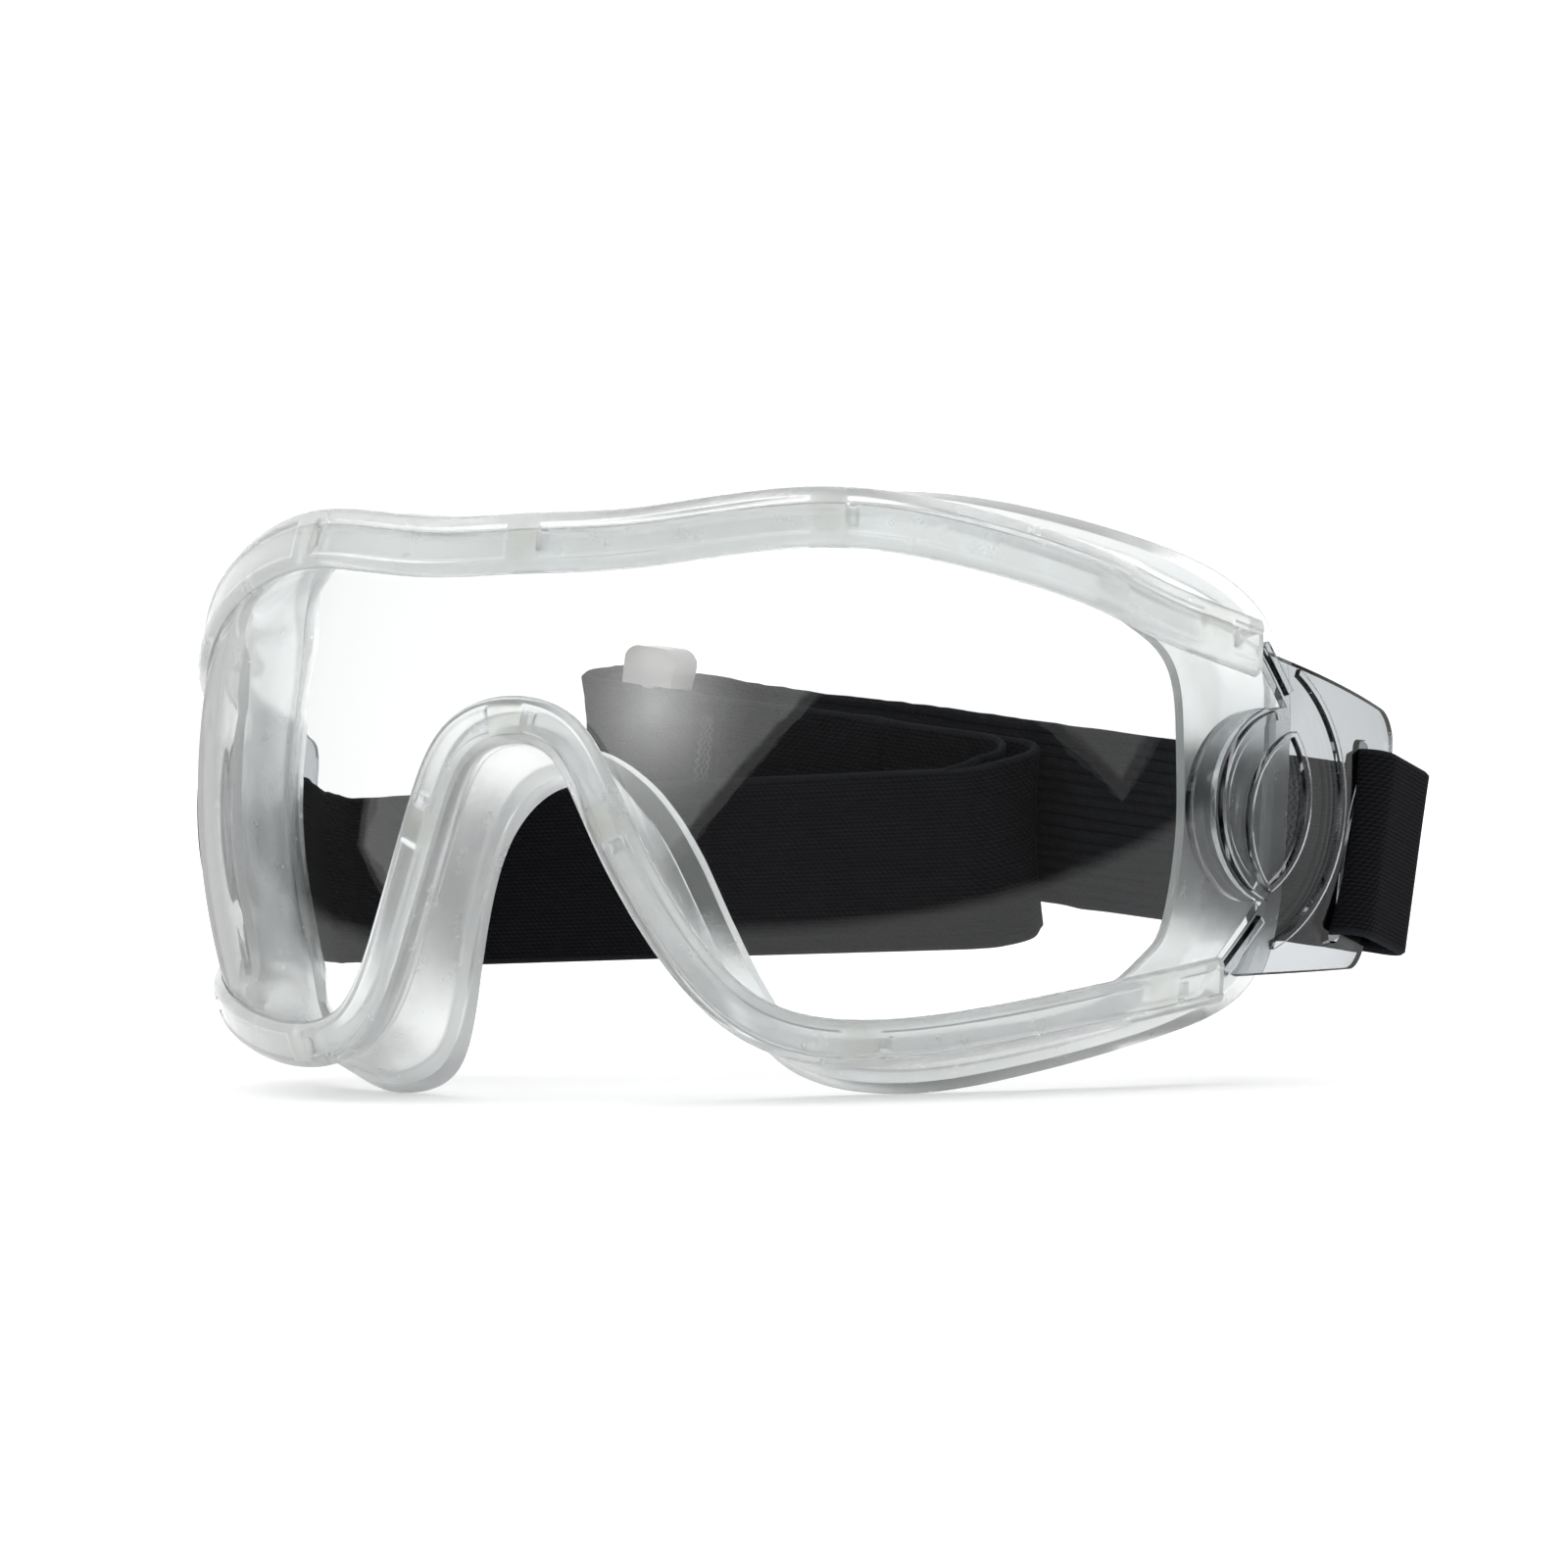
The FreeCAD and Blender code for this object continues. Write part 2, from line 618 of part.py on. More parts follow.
def addShape(label, shape):
    part = doc.addObject("Part::Feature", label)
    part.Label = label
    part.Shape = shape
    parts.append(part)
    return part


def addBox(name, sizes, corner):
    """A box whose sizes and near lower corner are expressions on the sheet."""
    box = doc.addObject("Part::Box", name)
    for prop, text in zip(("Length", "Width", "Height"), sizes):
        box.setExpression(prop, text)
    for axis, text in zip("xyz", corner):
        box.setExpression(f"Placement.Base.{axis}", text)
    return box


def addSlider():
    """Three bars between two end caps. Local X runs along the strap, whose middle is the origin."""
    high = "Sizes.strapWidth + 2 * Sizes.sliderCap"
    low = "-0.5 * Sizes.strapWidth - Sizes.sliderCap"
    rear = "0.5 * Sizes.strapThickness + Sizes.slideGap"
    front = ("-Sizes.strapThickness - Sizes.plyGap - 0.5 * Sizes.strapThickness"
             " - Sizes.sliderBarThickness - Sizes.slideGap")
    thick = "Sizes.sliderBarThickness"
    pieces = [
        addBox("MiddleBar", ("Sizes.sliderBar", thick, high), ("-0.5 * Sizes.sliderBar", front, low)),
        addBox("LeftBar", ("Sizes.sliderEndBar", thick, high), ("-0.5 * Sizes.sliderWidth", rear, low)),
        addBox("RightBar", ("Sizes.sliderEndBar", thick, high),
               ("0.5 * Sizes.sliderWidth - Sizes.sliderEndBar", rear, low)),
    ]
    deep = f"{rear} + Sizes.sliderBarThickness - ({front})"
    capHigh = "Sizes.sliderCap - Sizes.slideGap"
    for name, start in (("TopCap", "0.5 * Sizes.strapWidth + Sizes.slideGap"), ("BottomCap", low)):
        pieces.append(addBox(name, ("Sizes.sliderWidth", deep, capHigh),
                             ("-0.5 * Sizes.sliderWidth", front, start)))
    body = doc.addObject("Part::MultiFuse", "SliderBody")
    body.Shapes = pieces
    doc.recompute()
    slider = doc.addObject("Part::Fillet", "strap_slider")
    slider.Label = "strap_slider"
    slider.Base = body
    edge = 0.5 * size("sliderWidth")
    top = 0.5 * strapWidth + size("sliderCap")
    rounded = []
    for number, line in enumerate(body.Shape.Edges, 1):
        middle = line.CenterOfMass
        if abs(abs(middle.x) - edge) < 0.01 and abs(abs(middle.z) - top) < 0.01:
            rounded.append((number, size("sliderCorner"), size("sliderCorner")))
    slider.Edges = rounded
    parts.append(slider)
    return slider


plate = plateShape()
headband = headbandCorners()
endLoop = endLoopCorners()


def leaned(point):
    return slideLean


addShape("soft_frame", frameShape())
addShape("lens", lensShape())
addShape("left_strap_plate", plate)
addShape("right_strap_plate", plate.mirror(Vector(), Vector(1, 0, 0)))
addShape("headband", ribbonShape(route(headband), headbandUp))
addShape("plate_stitching", tackShape(headband, 0.7, headbandUp))
addShape("headband_end_loop", ribbonShape(route(endLoop), leaned))
addShape("slider_stitching", tackShape(endLoop, 0.5, leaned))
slider = addSlider()
doc.recompute()

# Bring everything over the origin: the footprint's middle at Y = 0 and the lowest point at Z = 0.
sliderX = -size("sliderPlace")
slider.Placement = Placement(Vector(sliderX, middleY, middleHeight(sliderX)),
                             Rotation(Vector(0, 1, 0), math.degrees(math.atan(slideRise))))
doc.recompute()
boxes = [part.Shape.optimalBoundingBox(True, False) for part in parts]
footprintMiddle = 0.5 * (min(box.YMin for box in boxes) + max(box.YMax for box in boxes))
home = Placement(Vector(0.0, -footprintMiddle, -min(box.ZMin for box in boxes)), Rotation())
for part in parts:
    part.Placement = home * part.Placement
doc.recompute()

for part in doc.Objects:
    if "Invalid" in part.State or "Error" in part.State:
        raise RuntimeError(f"{part.Label} did not recompute")
for part in parts:
    if part.Shape.isNull() or not part.Shape.isValid():
        raise RuntimeError(f"{part.Label} has no valid shape")

os.makedirs("parts", exist_ok=True)
for part in parts:
    part.Shape.exportStep(f"parts/{part.Label}.step")
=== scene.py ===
import math
import bmesh
import bpy
import numpy as np
from mathutils import Matrix, Quaternion, Vector


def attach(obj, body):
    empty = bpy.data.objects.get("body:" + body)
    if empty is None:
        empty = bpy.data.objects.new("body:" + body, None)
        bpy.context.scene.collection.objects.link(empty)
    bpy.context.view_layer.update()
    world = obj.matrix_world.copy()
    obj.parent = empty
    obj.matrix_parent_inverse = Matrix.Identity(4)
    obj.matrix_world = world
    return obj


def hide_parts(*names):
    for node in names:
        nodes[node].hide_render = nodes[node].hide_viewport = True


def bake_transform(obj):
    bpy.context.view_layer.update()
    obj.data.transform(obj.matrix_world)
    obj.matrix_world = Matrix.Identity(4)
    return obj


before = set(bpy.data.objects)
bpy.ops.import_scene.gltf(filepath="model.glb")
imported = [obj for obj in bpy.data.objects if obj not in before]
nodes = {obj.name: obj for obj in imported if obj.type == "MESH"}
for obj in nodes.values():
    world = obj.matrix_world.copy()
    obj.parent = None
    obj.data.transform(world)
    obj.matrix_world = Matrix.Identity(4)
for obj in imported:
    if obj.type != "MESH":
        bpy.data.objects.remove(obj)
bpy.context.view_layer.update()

print("frame loaded:", len(nodes), "nodes")

# The lens surface is worked out in millimetres from its foremost point, then moved home and scaled.
mm = 0.001
home = Vector((0.0, -52.4726, 39.2792))
shell = {"planRadius": 85.5, "uprightRadius": 100.0, "thickness": 2.0, "gap": 0.15}


def atHome(point):
    return (Vector(point) + home) * mm


def shellPoint(reach, height, lift=0.0, back=0.0):
    # reach runs round the lens from the middle, height is up, lift leaves the outer face
    tilt = math.asin(height / shell["uprightRadius"])
    out = (shell["uprightRadius"] + lift) * math.cos(tilt)
    radius = shell["planRadius"] - shell["uprightRadius"] + out
    turn = min(abs(reach) / shell["planRadius"], math.pi / 2)
    straight = abs(reach) - turn * shell["planRadius"]
    x = math.copysign(radius * math.sin(turn), reach)
    y = shell["planRadius"] - radius * math.cos(turn) + straight
    return Vector((x, y + back, (shell["uprightRadius"] + lift) * math.sin(tilt)))


def overShell(points):
    # (reach, height, lift) of points given in metres at home
    local = np.asarray(points) / mm - np.array(home)
    plan = np.hypot(local[:, 0], shell["planRadius"] - local[:, 1])
    ring = plan + shell["uprightRadius"] - shell["planRadius"]
    tilt = np.arctan2(local[:, 2], ring)
    lift = np.hypot(local[:, 2], ring) - shell["uprightRadius"]
    turn = np.arctan2(local[:, 0], shell["planRadius"] - local[:, 1])
    return turn * shell["planRadius"], shell["uprightRadius"] * np.sin(tilt), lift


def smoothStep(low, high, value):
    share = np.clip((value - low) / (high - low), 0.0, 1.0)
    return share * share * (3.0 - 2.0 * share)


def smoothLine(points, count, closed=False):
    # even stations on a C2 cubic line through the points, with the tangent at each
    points = np.array(points, float)
    total = len(points)
    system = np.zeros((total, total))
    right = np.zeros((total, points.shape[1]))
    for k in range(total):
        if closed or 0 < k < total - 1:
            before, after = (k - 1) % total, (k + 1) % total
            system[k, before] += 1.0
            system[k, k] += 4.0
            system[k, after] += 1.0
            right[k] = 6.0 * (points[before] - 2.0 * points[k] + points[after])
        else:
            system[k, k] = 1.0
    bend = np.linalg.solve(system, right)
    spans = total if closed else total - 1
    places = np.linspace(0.0, spans, count + 1)[:-1] if closed else np.linspace(0.0, spans, count)
    found, tangents = [], []
    for place in places:
        k = min(int(place), spans - 1)
        share = place - k
        a, b = points[k], points[(k + 1) % total]
        p, q = bend[k], bend[(k + 1) % total]
        rest = 1.0 - share
        found.append(rest * a + share * b + ((rest ** 3 - rest) * p + (share ** 3 - share) * q) / 6.0)
        tangents.append(b - a + ((1.0 - 3.0 * rest ** 2) * p + (3.0 * share ** 2 - 1.0) * q) / 6.0)
    return np.array(found), np.array(tangents)


def stationsOn(points, count, closed=False):
    found, tangents = smoothLine(points, count, closed)
    sides = np.stack([-tangents[:, 1], tangents[:, 0]], 1)
    sides /= np.linalg.norm(sides, axis=1)[:, None]
    return list(zip(found, sides))


def offLine(station, outward, lift=0.0, back=0.0):
    place, side = station
    return shellPoint(place[0] + side[0] * outward, place[1] + side[1] * outward, lift, back)


def newMesh(name, points, faces, smooth=True):
    mesh = bpy.data.meshes.new(name)
    mesh.from_pydata([tuple(p) for p in points], [], faces)
    mesh.validate()
    mesh.update()
    mesh.polygons.foreach_set("use_smooth", [smooth] * len(mesh.polygons))
    obj = bpy.data.objects.new(name, mesh)
    bpy.context.scene.collection.objects.link(obj)
    return obj


def loft(sections, closedRun, closedSection=True, capped=False):
    # points and quads of a skin over equal sections
    rows, columns = len(sections), len(sections[0])
    points = [p for section in sections for p in section]
    faces = []
    for i in range(rows if closedRun else rows - 1):
        j = (i + 1) % rows
        for k in range(columns if closedSection else columns - 1):
            l = (k + 1) % columns
            faces.append((i * columns + k, i * columns + l, j * columns + l, j * columns + k))
    if capped:
        faces.append(tuple(range(columns))[::-1])
        faces.append(tuple((rows - 1) * columns + k for k in range(columns)))
    return points, faces


def outwardFaces(obj):
    work = bmesh.new()
    work.from_mesh(obj.data)
    bmesh.ops.recalc_face_normals(work, faces=work.faces)
    work.to_mesh(obj.data)
    work.free()
    return obj


def settle(obj):
    # applies the modifiers of a piece to its mesh
    graph = bpy.context.evaluated_depsgraph_get()
    mesh = bpy.data.meshes.new_from_object(obj.evaluated_get(graph))
    old = obj.data
    obj.modifiers.clear()
    obj.data = mesh
    bpy.data.meshes.remove(old)
    return obj


def nodeGroup(name, inputs, outputs):
    group = bpy.data.node_groups.new(name, "ShaderNodeTree")
    for label, kind, value in inputs:
        socket = group.interface.new_socket(name=label, in_out="INPUT", socket_type=kind)
        if value is not None:
            socket.default_value = value
    for label, kind in outputs:
        group.interface.new_socket(name=label, in_out="OUTPUT", socket_type=kind)
    start = group.nodes.new("NodeGroupInput")
    end = group.nodes.new("NodeGroupOutput")
    return group, start, end


def mathNode(tree, operation, a, b=None):
    node = tree.nodes.new("ShaderNodeMath")
    node.operation = operation
    for k, value in enumerate((a, b)):
        if value is None:
            continue
        if isinstance(value, (int, float)):
            node.inputs[k].default_value = value
        else:
            tree.links.new(value, node.inputs[k])
    return node.outputs[0]


def noiseNode(tree, vector, scale, detail=4.0, roughness=0.5):
    node = tree.nodes.new("ShaderNodeTexNoise")
    node.inputs["Detail"].default_value = detail
    node.inputs["Roughness"].default_value = roughness
    if isinstance(scale, (int, float)):
        node.inputs["Scale"].default_value = scale
    else:
        tree.links.new(scale, node.inputs["Scale"])
    tree.links.new(vector, node.inputs["Vector"])
    return node.outputs["Fac"]


def dotNode(tree, vector, axis):
    node = tree.nodes.new("ShaderNodeVectorMath")
    node.operation = "DOT_PRODUCT"
    tree.links.new(vector, node.inputs[0])
    node.inputs[1].default_value = axis
    return node.outputs["Value"]


def rangeNode(tree, value, fromLow, fromHigh, toLow, toHigh):
    node = tree.nodes.new("ShaderNodeMapRange")
    tree.links.new(value, node.inputs["Value"])
    ends = (("From Min", fromLow), ("From Max", fromHigh), ("To Min", toLow), ("To Max", toHigh))
    for label, end in ends:
        if isinstance(end, (int, float)):
            node.inputs[label].default_value = end
        else:
            tree.links.new(end, node.inputs[label])
    return node.outputs["Result"]


def mixColour(tree, share, a, b):
    node = tree.nodes.new("ShaderNodeMix")
    node.data_type = "RGBA"
    sockets = {"Factor": node.inputs[0], "A": node.inputs[6], "B": node.inputs[7]}
    for label, value in (("Factor", share), ("A", a), ("B", b)):
        if isinstance(value, (int, float, tuple)):
            sockets[label].default_value = value
        else:
            tree.links.new(value, sockets[label])
    return node.outputs[2]


def buildMouldFinish():
    # slow ripples of a moulded wall, a fine satin grain, and cloudiness that varies over the part
    group, start, end = nodeGroup(
        "mouldFinish",
        [("Vector", "NodeSocketVector", None), ("Ripple Size", "NodeSocketFloat", 90.0),
         ("Grain Size", "NodeSocketFloat", 1600.0), ("Grain Share", "NodeSocketFloat", 0.3),
         ("Rough Low", "NodeSocketFloat", 0.2), ("Rough High", "NodeSocketFloat", 0.4)],
        [("Height", "NodeSocketFloat"), ("Roughness", "NodeSocketFloat"), ("Cloud", "NodeSocketFloat")])
    where = start.outputs["Vector"]
    ripple = noiseNode(group, where, start.outputs["Ripple Size"], 2.0)
    grain = noiseNode(group, where, start.outputs["Grain Size"], 2.0)
    grain = mathNode(group, "MULTIPLY", grain, start.outputs["Grain Share"])
    height = mathNode(group, "ADD", ripple, grain)
    rough = rangeNode(group, noiseNode(group, where, 240.0, 5.0), 0.3, 0.7,
                      start.outputs["Rough Low"], start.outputs["Rough High"])
    cloud = rangeNode(group, noiseNode(group, where, 130.0, 3.0), 0.35, 0.65, 0.0, 1.0)
    group.links.new(height, end.inputs["Height"])
    group.links.new(rough, end.inputs["Roughness"])
    group.links.new(cloud, end.inputs["Cloud"])
    return group


def buildKnitRows():
    # short slanted stitches in rows along a band; the vector is (across, along) in millimetres
    group, start, end = nodeGroup(
        "knitRows",
        [("Vector", "NodeSocketVector", None), ("Row", "NodeSocketFloat", 0.62),
         ("Stitch", "NodeSocketFloat", 0.95), ("Slant", "NodeSocketFloat", 0.8)],
        [("Height", "NodeSocketFloat"), ("Shade", "NodeSocketFloat")])
    split = group.nodes.new("ShaderNodeSeparateXYZ")
    group.links.new(start.outputs["Vector"], split.inputs[0])
    across = mathNode(group, "DIVIDE", split.outputs[0], start.outputs["Row"])
    row = mathNode(group, "FLOOR", across)
    inRow = mathNode(group, "SUBTRACT", mathNode(group, "FRACT", across), 0.5)
    odd = mathNode(group, "MULTIPLY", mathNode(group, "MODULO", row, 2.0), 0.5)
    lean = mathNode(group, "MULTIPLY", inRow, start.outputs["Slant"])
    along = mathNode(group, "DIVIDE", split.outputs[1], start.outputs["Stitch"])
    along = mathNode(group, "ADD", mathNode(group, "ADD", along, odd), lean)
    inStitch = mathNode(group, "SUBTRACT", mathNode(group, "FRACT", along), 0.5)
    domes = []
    for place in (inRow, inStitch):
        edge = mathNode(group, "ABSOLUTE", mathNode(group, "MULTIPLY", place, 2.0))
        domes.append(mathNode(group, "SUBTRACT", 1.0, mathNode(group, "POWER", edge, 2.0)))
    dome = mathNode(group, "MULTIPLY", *domes)
    fuzz = noiseNode(group, start.outputs["Vector"], 3.5, 4.0, 0.6)
    hairs = mathNode(group, "MULTIPLY", fuzz, 0.5)
    height = mathNode(group, "ADD", mathNode(group, "POWER", dome, 0.5), hairs)
    uneven = rangeNode(group, fuzz, 0.3, 0.7, 0.6, 1.2)
    shade = mathNode(group, "MULTIPLY", mathNode(group, "POWER", dome, 0.7), uneven)
    group.links.new(height, end.inputs["Height"])
    group.links.new(shade, end.inputs["Shade"])
    return group


mouldFinish = buildMouldFinish()
knitRows = buildKnitRows()


def newMaterial(name):
    material = bpy.data.materials.new(name)
    material.use_nodes = True
    tree = material.node_tree
    return material, tree, tree.nodes["Principled BSDF"]


def placeGroup(tree, group, **values):
    node = tree.nodes.new("ShaderNodeGroup")
    node.node_tree = group
    for label, value in values.items():
        socket = node.inputs[label.replace("_", " ")]
        if isinstance(value, (int, float)):
            socket.default_value = value
        else:
            tree.links.new(value, socket)
    return node


def bumpInto(tree, shader, height, distance, strength):
    bump = tree.nodes.new("ShaderNodeBump")
    bump.inputs["Distance"].default_value = distance
    bump.inputs["Strength"].default_value = strength
    tree.links.new(height, bump.inputs["Height"])
    tree.links.new(bump.outputs["Normal"], shader.inputs["Normal"])


def objectPlace(tree):
    return tree.nodes.new("ShaderNodeTexCoord").outputs["Object"]


milkyRubber = {
    "clear": (0.88, 0.897, 0.90, 1.0), "cloudy": (0.80, 0.81, 0.775, 1.0),
    "transmission": 0.86, "index": 1.45,
}


def frameMaterial():
    material, tree, shader = newMaterial("milkyRubber")
    finish = placeGroup(tree, mouldFinish, Vector=objectPlace(tree), Ripple_Size=110.0, Grain_Size=1500.0,
                        Grain_Share=0.04, Rough_Low=0.20, Rough_High=0.28)
    web = tree.nodes.new("ShaderNodeAttribute")
    web.attribute_name = "web"
    cloud = mathNode(tree, "MULTIPLY", finish.outputs["Cloud"], 0.3)
    cloud = mathNode(tree, "MAXIMUM", cloud, web.outputs["Fac"])
    colour = mixColour(tree, cloud, milkyRubber["clear"], milkyRubber["cloudy"])
    tree.links.new(colour, shader.inputs["Base Color"])
    tree.links.new(finish.outputs["Roughness"], shader.inputs["Roughness"])
    shader.inputs["Transmission Weight"].default_value = milkyRubber["transmission"]
    shader.inputs["IOR"].default_value = milkyRubber["index"]
    bumpInto(tree, shader, finish.outputs["Height"], 0.0003, 0.10)
    return material


clearPlastic = {"lens": (0.97, 0.985, 0.985, 1.0), "plate": (0.56, 0.58, 0.595, 1.0), "index": 1.58}


def clearMaterial(name, colour, ripple):
    # perfectly sharp, so the room can tell its reflections from those of satin surfaces
    material, tree, shader = newMaterial(name)
    finish = placeGroup(tree, mouldFinish, Vector=objectPlace(tree), Ripple_Size=60.0, Grain_Size=900.0,
                        Grain_Share=0.02)
    shader.inputs["Base Color"].default_value = colour
    shader.inputs["Transmission Weight"].default_value = 1.0
    shader.inputs["IOR"].default_value = clearPlastic["index"]
    shader.inputs["Roughness"].default_value = 0.0
    bumpInto(tree, shader, finish.outputs["Height"], 0.0002, ripple)
    return material


elastic = {
    "yarn": (0.0125, 0.013, 0.0155, 1.0), "gap": (0.002, 0.002, 0.0025, 1.0),
    "selvedge": (0.014, 0.015, 0.018, 1.0),
    "width": 25.0, "thickness": 1.4, "cords": 16, "cordHeight": 0.22,
}


def elasticMaterial():
    material, tree, shader = newMaterial("blackElastic")
    place = tree.nodes.new("ShaderNodeUVMap")
    place.uv_map = "band"
    knit = placeGroup(tree, knitRows, Vector=place.outputs[0], Row=0.55, Stitch=0.90, Slant=0.9)
    ribbed = tree.nodes.new("ShaderNodeAttribute")
    ribbed.attribute_name = "ribbed"
    edge = tree.nodes.new("ShaderNodeAttribute")
    edge.attribute_name = "edge"
    yarn = mixColour(tree, knit.outputs["Shade"], elastic["gap"], elastic["yarn"])
    onCord = mathNode(tree, "MULTIPLY", ribbed.outputs["Fac"], 0.85)
    cord = mixColour(tree, onCord, yarn, elastic["selvedge"])
    colour = mixColour(tree, edge.outputs["Fac"], cord, elastic["selvedge"])
    tree.links.new(colour, shader.inputs["Base Color"])
    rough = rangeNode(tree, knit.outputs["Shade"], 0.0, 1.0, 0.95, 0.78)
    tree.links.new(rough, shader.inputs["Roughness"])
    shader.inputs["Specular IOR Level"].default_value = 0.03
    bumpInto(tree, shader, knit.outputs["Height"], 0.00022, 0.8)
    return material


thread = {"light": (0.075, 0.076, 0.080, 1.0), "dark": (0.015, 0.015, 0.016, 1.0), "radius": 0.16}


def threadMaterial():
    material, tree, shader = newMaterial("sewingThread")
    twist = placeGroup(tree, knitRows, Vector=tree.nodes.new("ShaderNodeTexCoord").outputs["Object"],
                       Row=0.00022, Stitch=0.0005, Slant=1.4)
    colour = mixColour(tree, twist.outputs["Shade"], thread["dark"], thread["light"])
    tree.links.new(colour, shader.inputs["Base Color"])
    shader.inputs["Roughness"].default_value = 0.6
    bumpInto(tree, shader, twist.outputs["Height"], 0.00005, 0.6)
    return material


sliderPlastic = {
    "colour": (0.42, 0.415, 0.405, 1.0), "cloudy": (0.52, 0.50, 0.48, 1.0), "transmission": 0.45,
}


def sliderMaterial():
    material, tree, shader = newMaterial("frostedPlastic")
    finish = placeGroup(tree, mouldFinish, Vector=objectPlace(tree), Ripple_Size=200.0, Grain_Size=2200.0,
                        Grain_Share=0.3, Rough_Low=0.30, Rough_High=0.45)
    colour = mixColour(tree, finish.outputs["Cloud"], sliderPlastic["colour"], sliderPlastic["cloudy"])
    tree.links.new(colour, shader.inputs["Base Color"])
    tree.links.new(finish.outputs["Roughness"], shader.inputs["Roughness"])
    shader.inputs["Transmission Weight"].default_value = sliderPlastic["transmission"]
    shader.inputs["IOR"].default_value = 1.49
    bumpInto(tree, shader, finish.outputs["Height"], 0.00015, 0.3)
    return material


milkyMaterial = frameMaterial()
lensMaterial = clearMaterial("clearLens", clearPlastic["lens"], 0.01)
plateMaterial = clearMaterial("clearPlate", clearPlastic["plate"], 0.05)
bandMaterial = elasticMaterial()
stitchMaterial = threadMaterial()
capMaterial = sliderMaterial()
print("materials made")

softFrame = {
    "browHeight": 34.9, "browDip": 2.1, "noseHeight": 10.3, "noseHalf": 15.0, "cheekDrop": 31.6,
    "cheekReach": 47.0, "templeReach": 94.5, "browHalf": 3.9, "cheekHalf": 3.0, "lip": 1.8, "wall": 2.2,
    "skirtDepth": 15.5, "templeDepth": 20.0, "rimWidth": 5.0, "rimBead": 2.0, "bite": 1.75,
    "tongue": 1.75, "stations": 300, "lipStations": 620,
}


def frameLines():
    s = softFrame
    high, drop, temple = s["browHeight"], s["cheekDrop"], s["templeReach"]
    middle = high - s["browDip"]
    nose, noseHigh, cheek = s["noseHalf"], s["noseHeight"], s["cheekReach"]
    bump = 0.39 * temple
    upper = [(0.0, middle), (0.45 * bump, middle + 0.2), (bump, high), (0.60 * temple, high - 1.6),
             (0.83 * temple, high - 7.7), (0.95 * temple, high - 12.7)]
    lower = [(0.0, noseHigh), (nose - 6.7, noseHigh - 3.2), (nose - 1.0, noseHigh - 14.3),
             (nose + 6.7, 13.1 - drop), (nose + 16.0, 3.4 - drop), (cheek - 4.0, -drop),
             (cheek + 12.0, 0.6 - drop), (temple - 15.0, 3.6 - drop)]
    side = [(temple + 0.6, high - 20.0), (temple, 0.0), (temple - 2.0, -0.55 * drop),
            (temple - 5.5, 8.0 - drop)]
    rim = [(0.0, middle + 4.4), (0.45 * bump, middle + 4.9), (bump, high + 4.7),
           (0.60 * temple + 2.0, high + 3.6), (0.83 * temple + 4.0, high - 2.4),
           (0.95 * temple + 6.0, high - 9.0), (temple + 6.0, high - 18.5),
           (temple + 4.5, 0.0), (temple + 3.5, -0.60 * drop), (temple - 1.0, 2.5 - drop),
           (temple - 15.0, -2.6 - drop), (cheek + 11.0, -7.2 - drop), (cheek - 5.0, -8.4 - drop),
           (nose + 12.0, -4.0 - drop), (nose + 3.0, 10.0 - drop), (nose - 2.5, noseHigh - 19.0),
           (nose - 8.2, noseHigh - 11.5), (0.0, noseHigh - 8.6)]
    return upper, lower, side, rim


def mirroredLine(half):
    return [(-reach, height) for reach, height in half[:0:-1]] + half


def ringLine(half):
    return half + [(-reach, height) for reach, height in half[-2:0:-1]]


def between(a, b, deep, wide):
    # from a to b: deep is the share backwards, wide the share sideways and upwards
    return Vector((a.x + (b.x - a.x) * wide, a.y + (b.y - a.y) * deep, a.z + (b.z - a.z) * wide))


def skirtPiece(upper, lower, side, rim):
    # rear lip behind the lens, a wall that flares backwards, and the rim that lies on the face
    s = softFrame
    inner = stationsOn(ringLine(upper + side + lower[::-1]), s["stations"], closed=True)
    outer = stationsOn(ringLine(rim), s["stations"], closed=True)
    sections = []
    for station, far in zip(inner, outer):
        x, y = station[0]
        brow = smoothStep(-8.0, 8.0, y) if abs(x) > s["noseHalf"] + 6.0 or y > 20.0 else 0.0
        half = s["cheekHalf"] + brow * (s["browHalf"] - s["cheekHalf"]) - 0.4
        temple = smoothStep(s["templeReach"] - 14.0, s["templeReach"] - 5.0, abs(x))
        front = -shell["thickness"] - shell["gap"] - temple * s["tongue"]
        deep = s["skirtDepth"]
        deep += smoothStep(0.5 * s["templeReach"], s["templeReach"], abs(x)) * (s["templeDepth"] - deep)
        rest = -shell["thickness"]
        outFront, outRear = offLine(station, half, front), offLine(far, 0.0, rest, deep - 0.8)
        inFront = offLine(station, half - s["wall"], front - 1.6)
        inRear = offLine(far, -s["wall"], rest, deep - s["rimBead"] + 0.6)
        flare = ((0.25, 0.10), (0.5, 0.30), (0.75, 0.62))
        corners = [offLine(station, 1.6 - half, front), outFront]
        corners += [between(outFront, outRear, *share) for share in flare]
        corners += [
            outRear, offLine(far, 0.0, rest, deep), offLine(far, -0.7, rest, deep + 0.7),
            offLine(far, -0.6 * s["rimWidth"], rest, deep + 0.75),
            offLine(far, 0.3 - s["rimWidth"], rest, deep + 1.0),
            offLine(far, -s["rimWidth"], rest, deep + 0.5),
            offLine(far, 0.2 - s["rimWidth"], rest, deep + 1.0 - s["rimBead"]),
            inRear,
        ]
        corners += [between(inFront, inRear, *share) for share in flare[::-1]]
        corners += [inFront, offLine(station, 1.6 - half, front - 1.6)]
        sections.append([atHome(p) for p in corners])
    return outwardFaces(newMesh("skirt", *loft(sections, closedRun=True)))


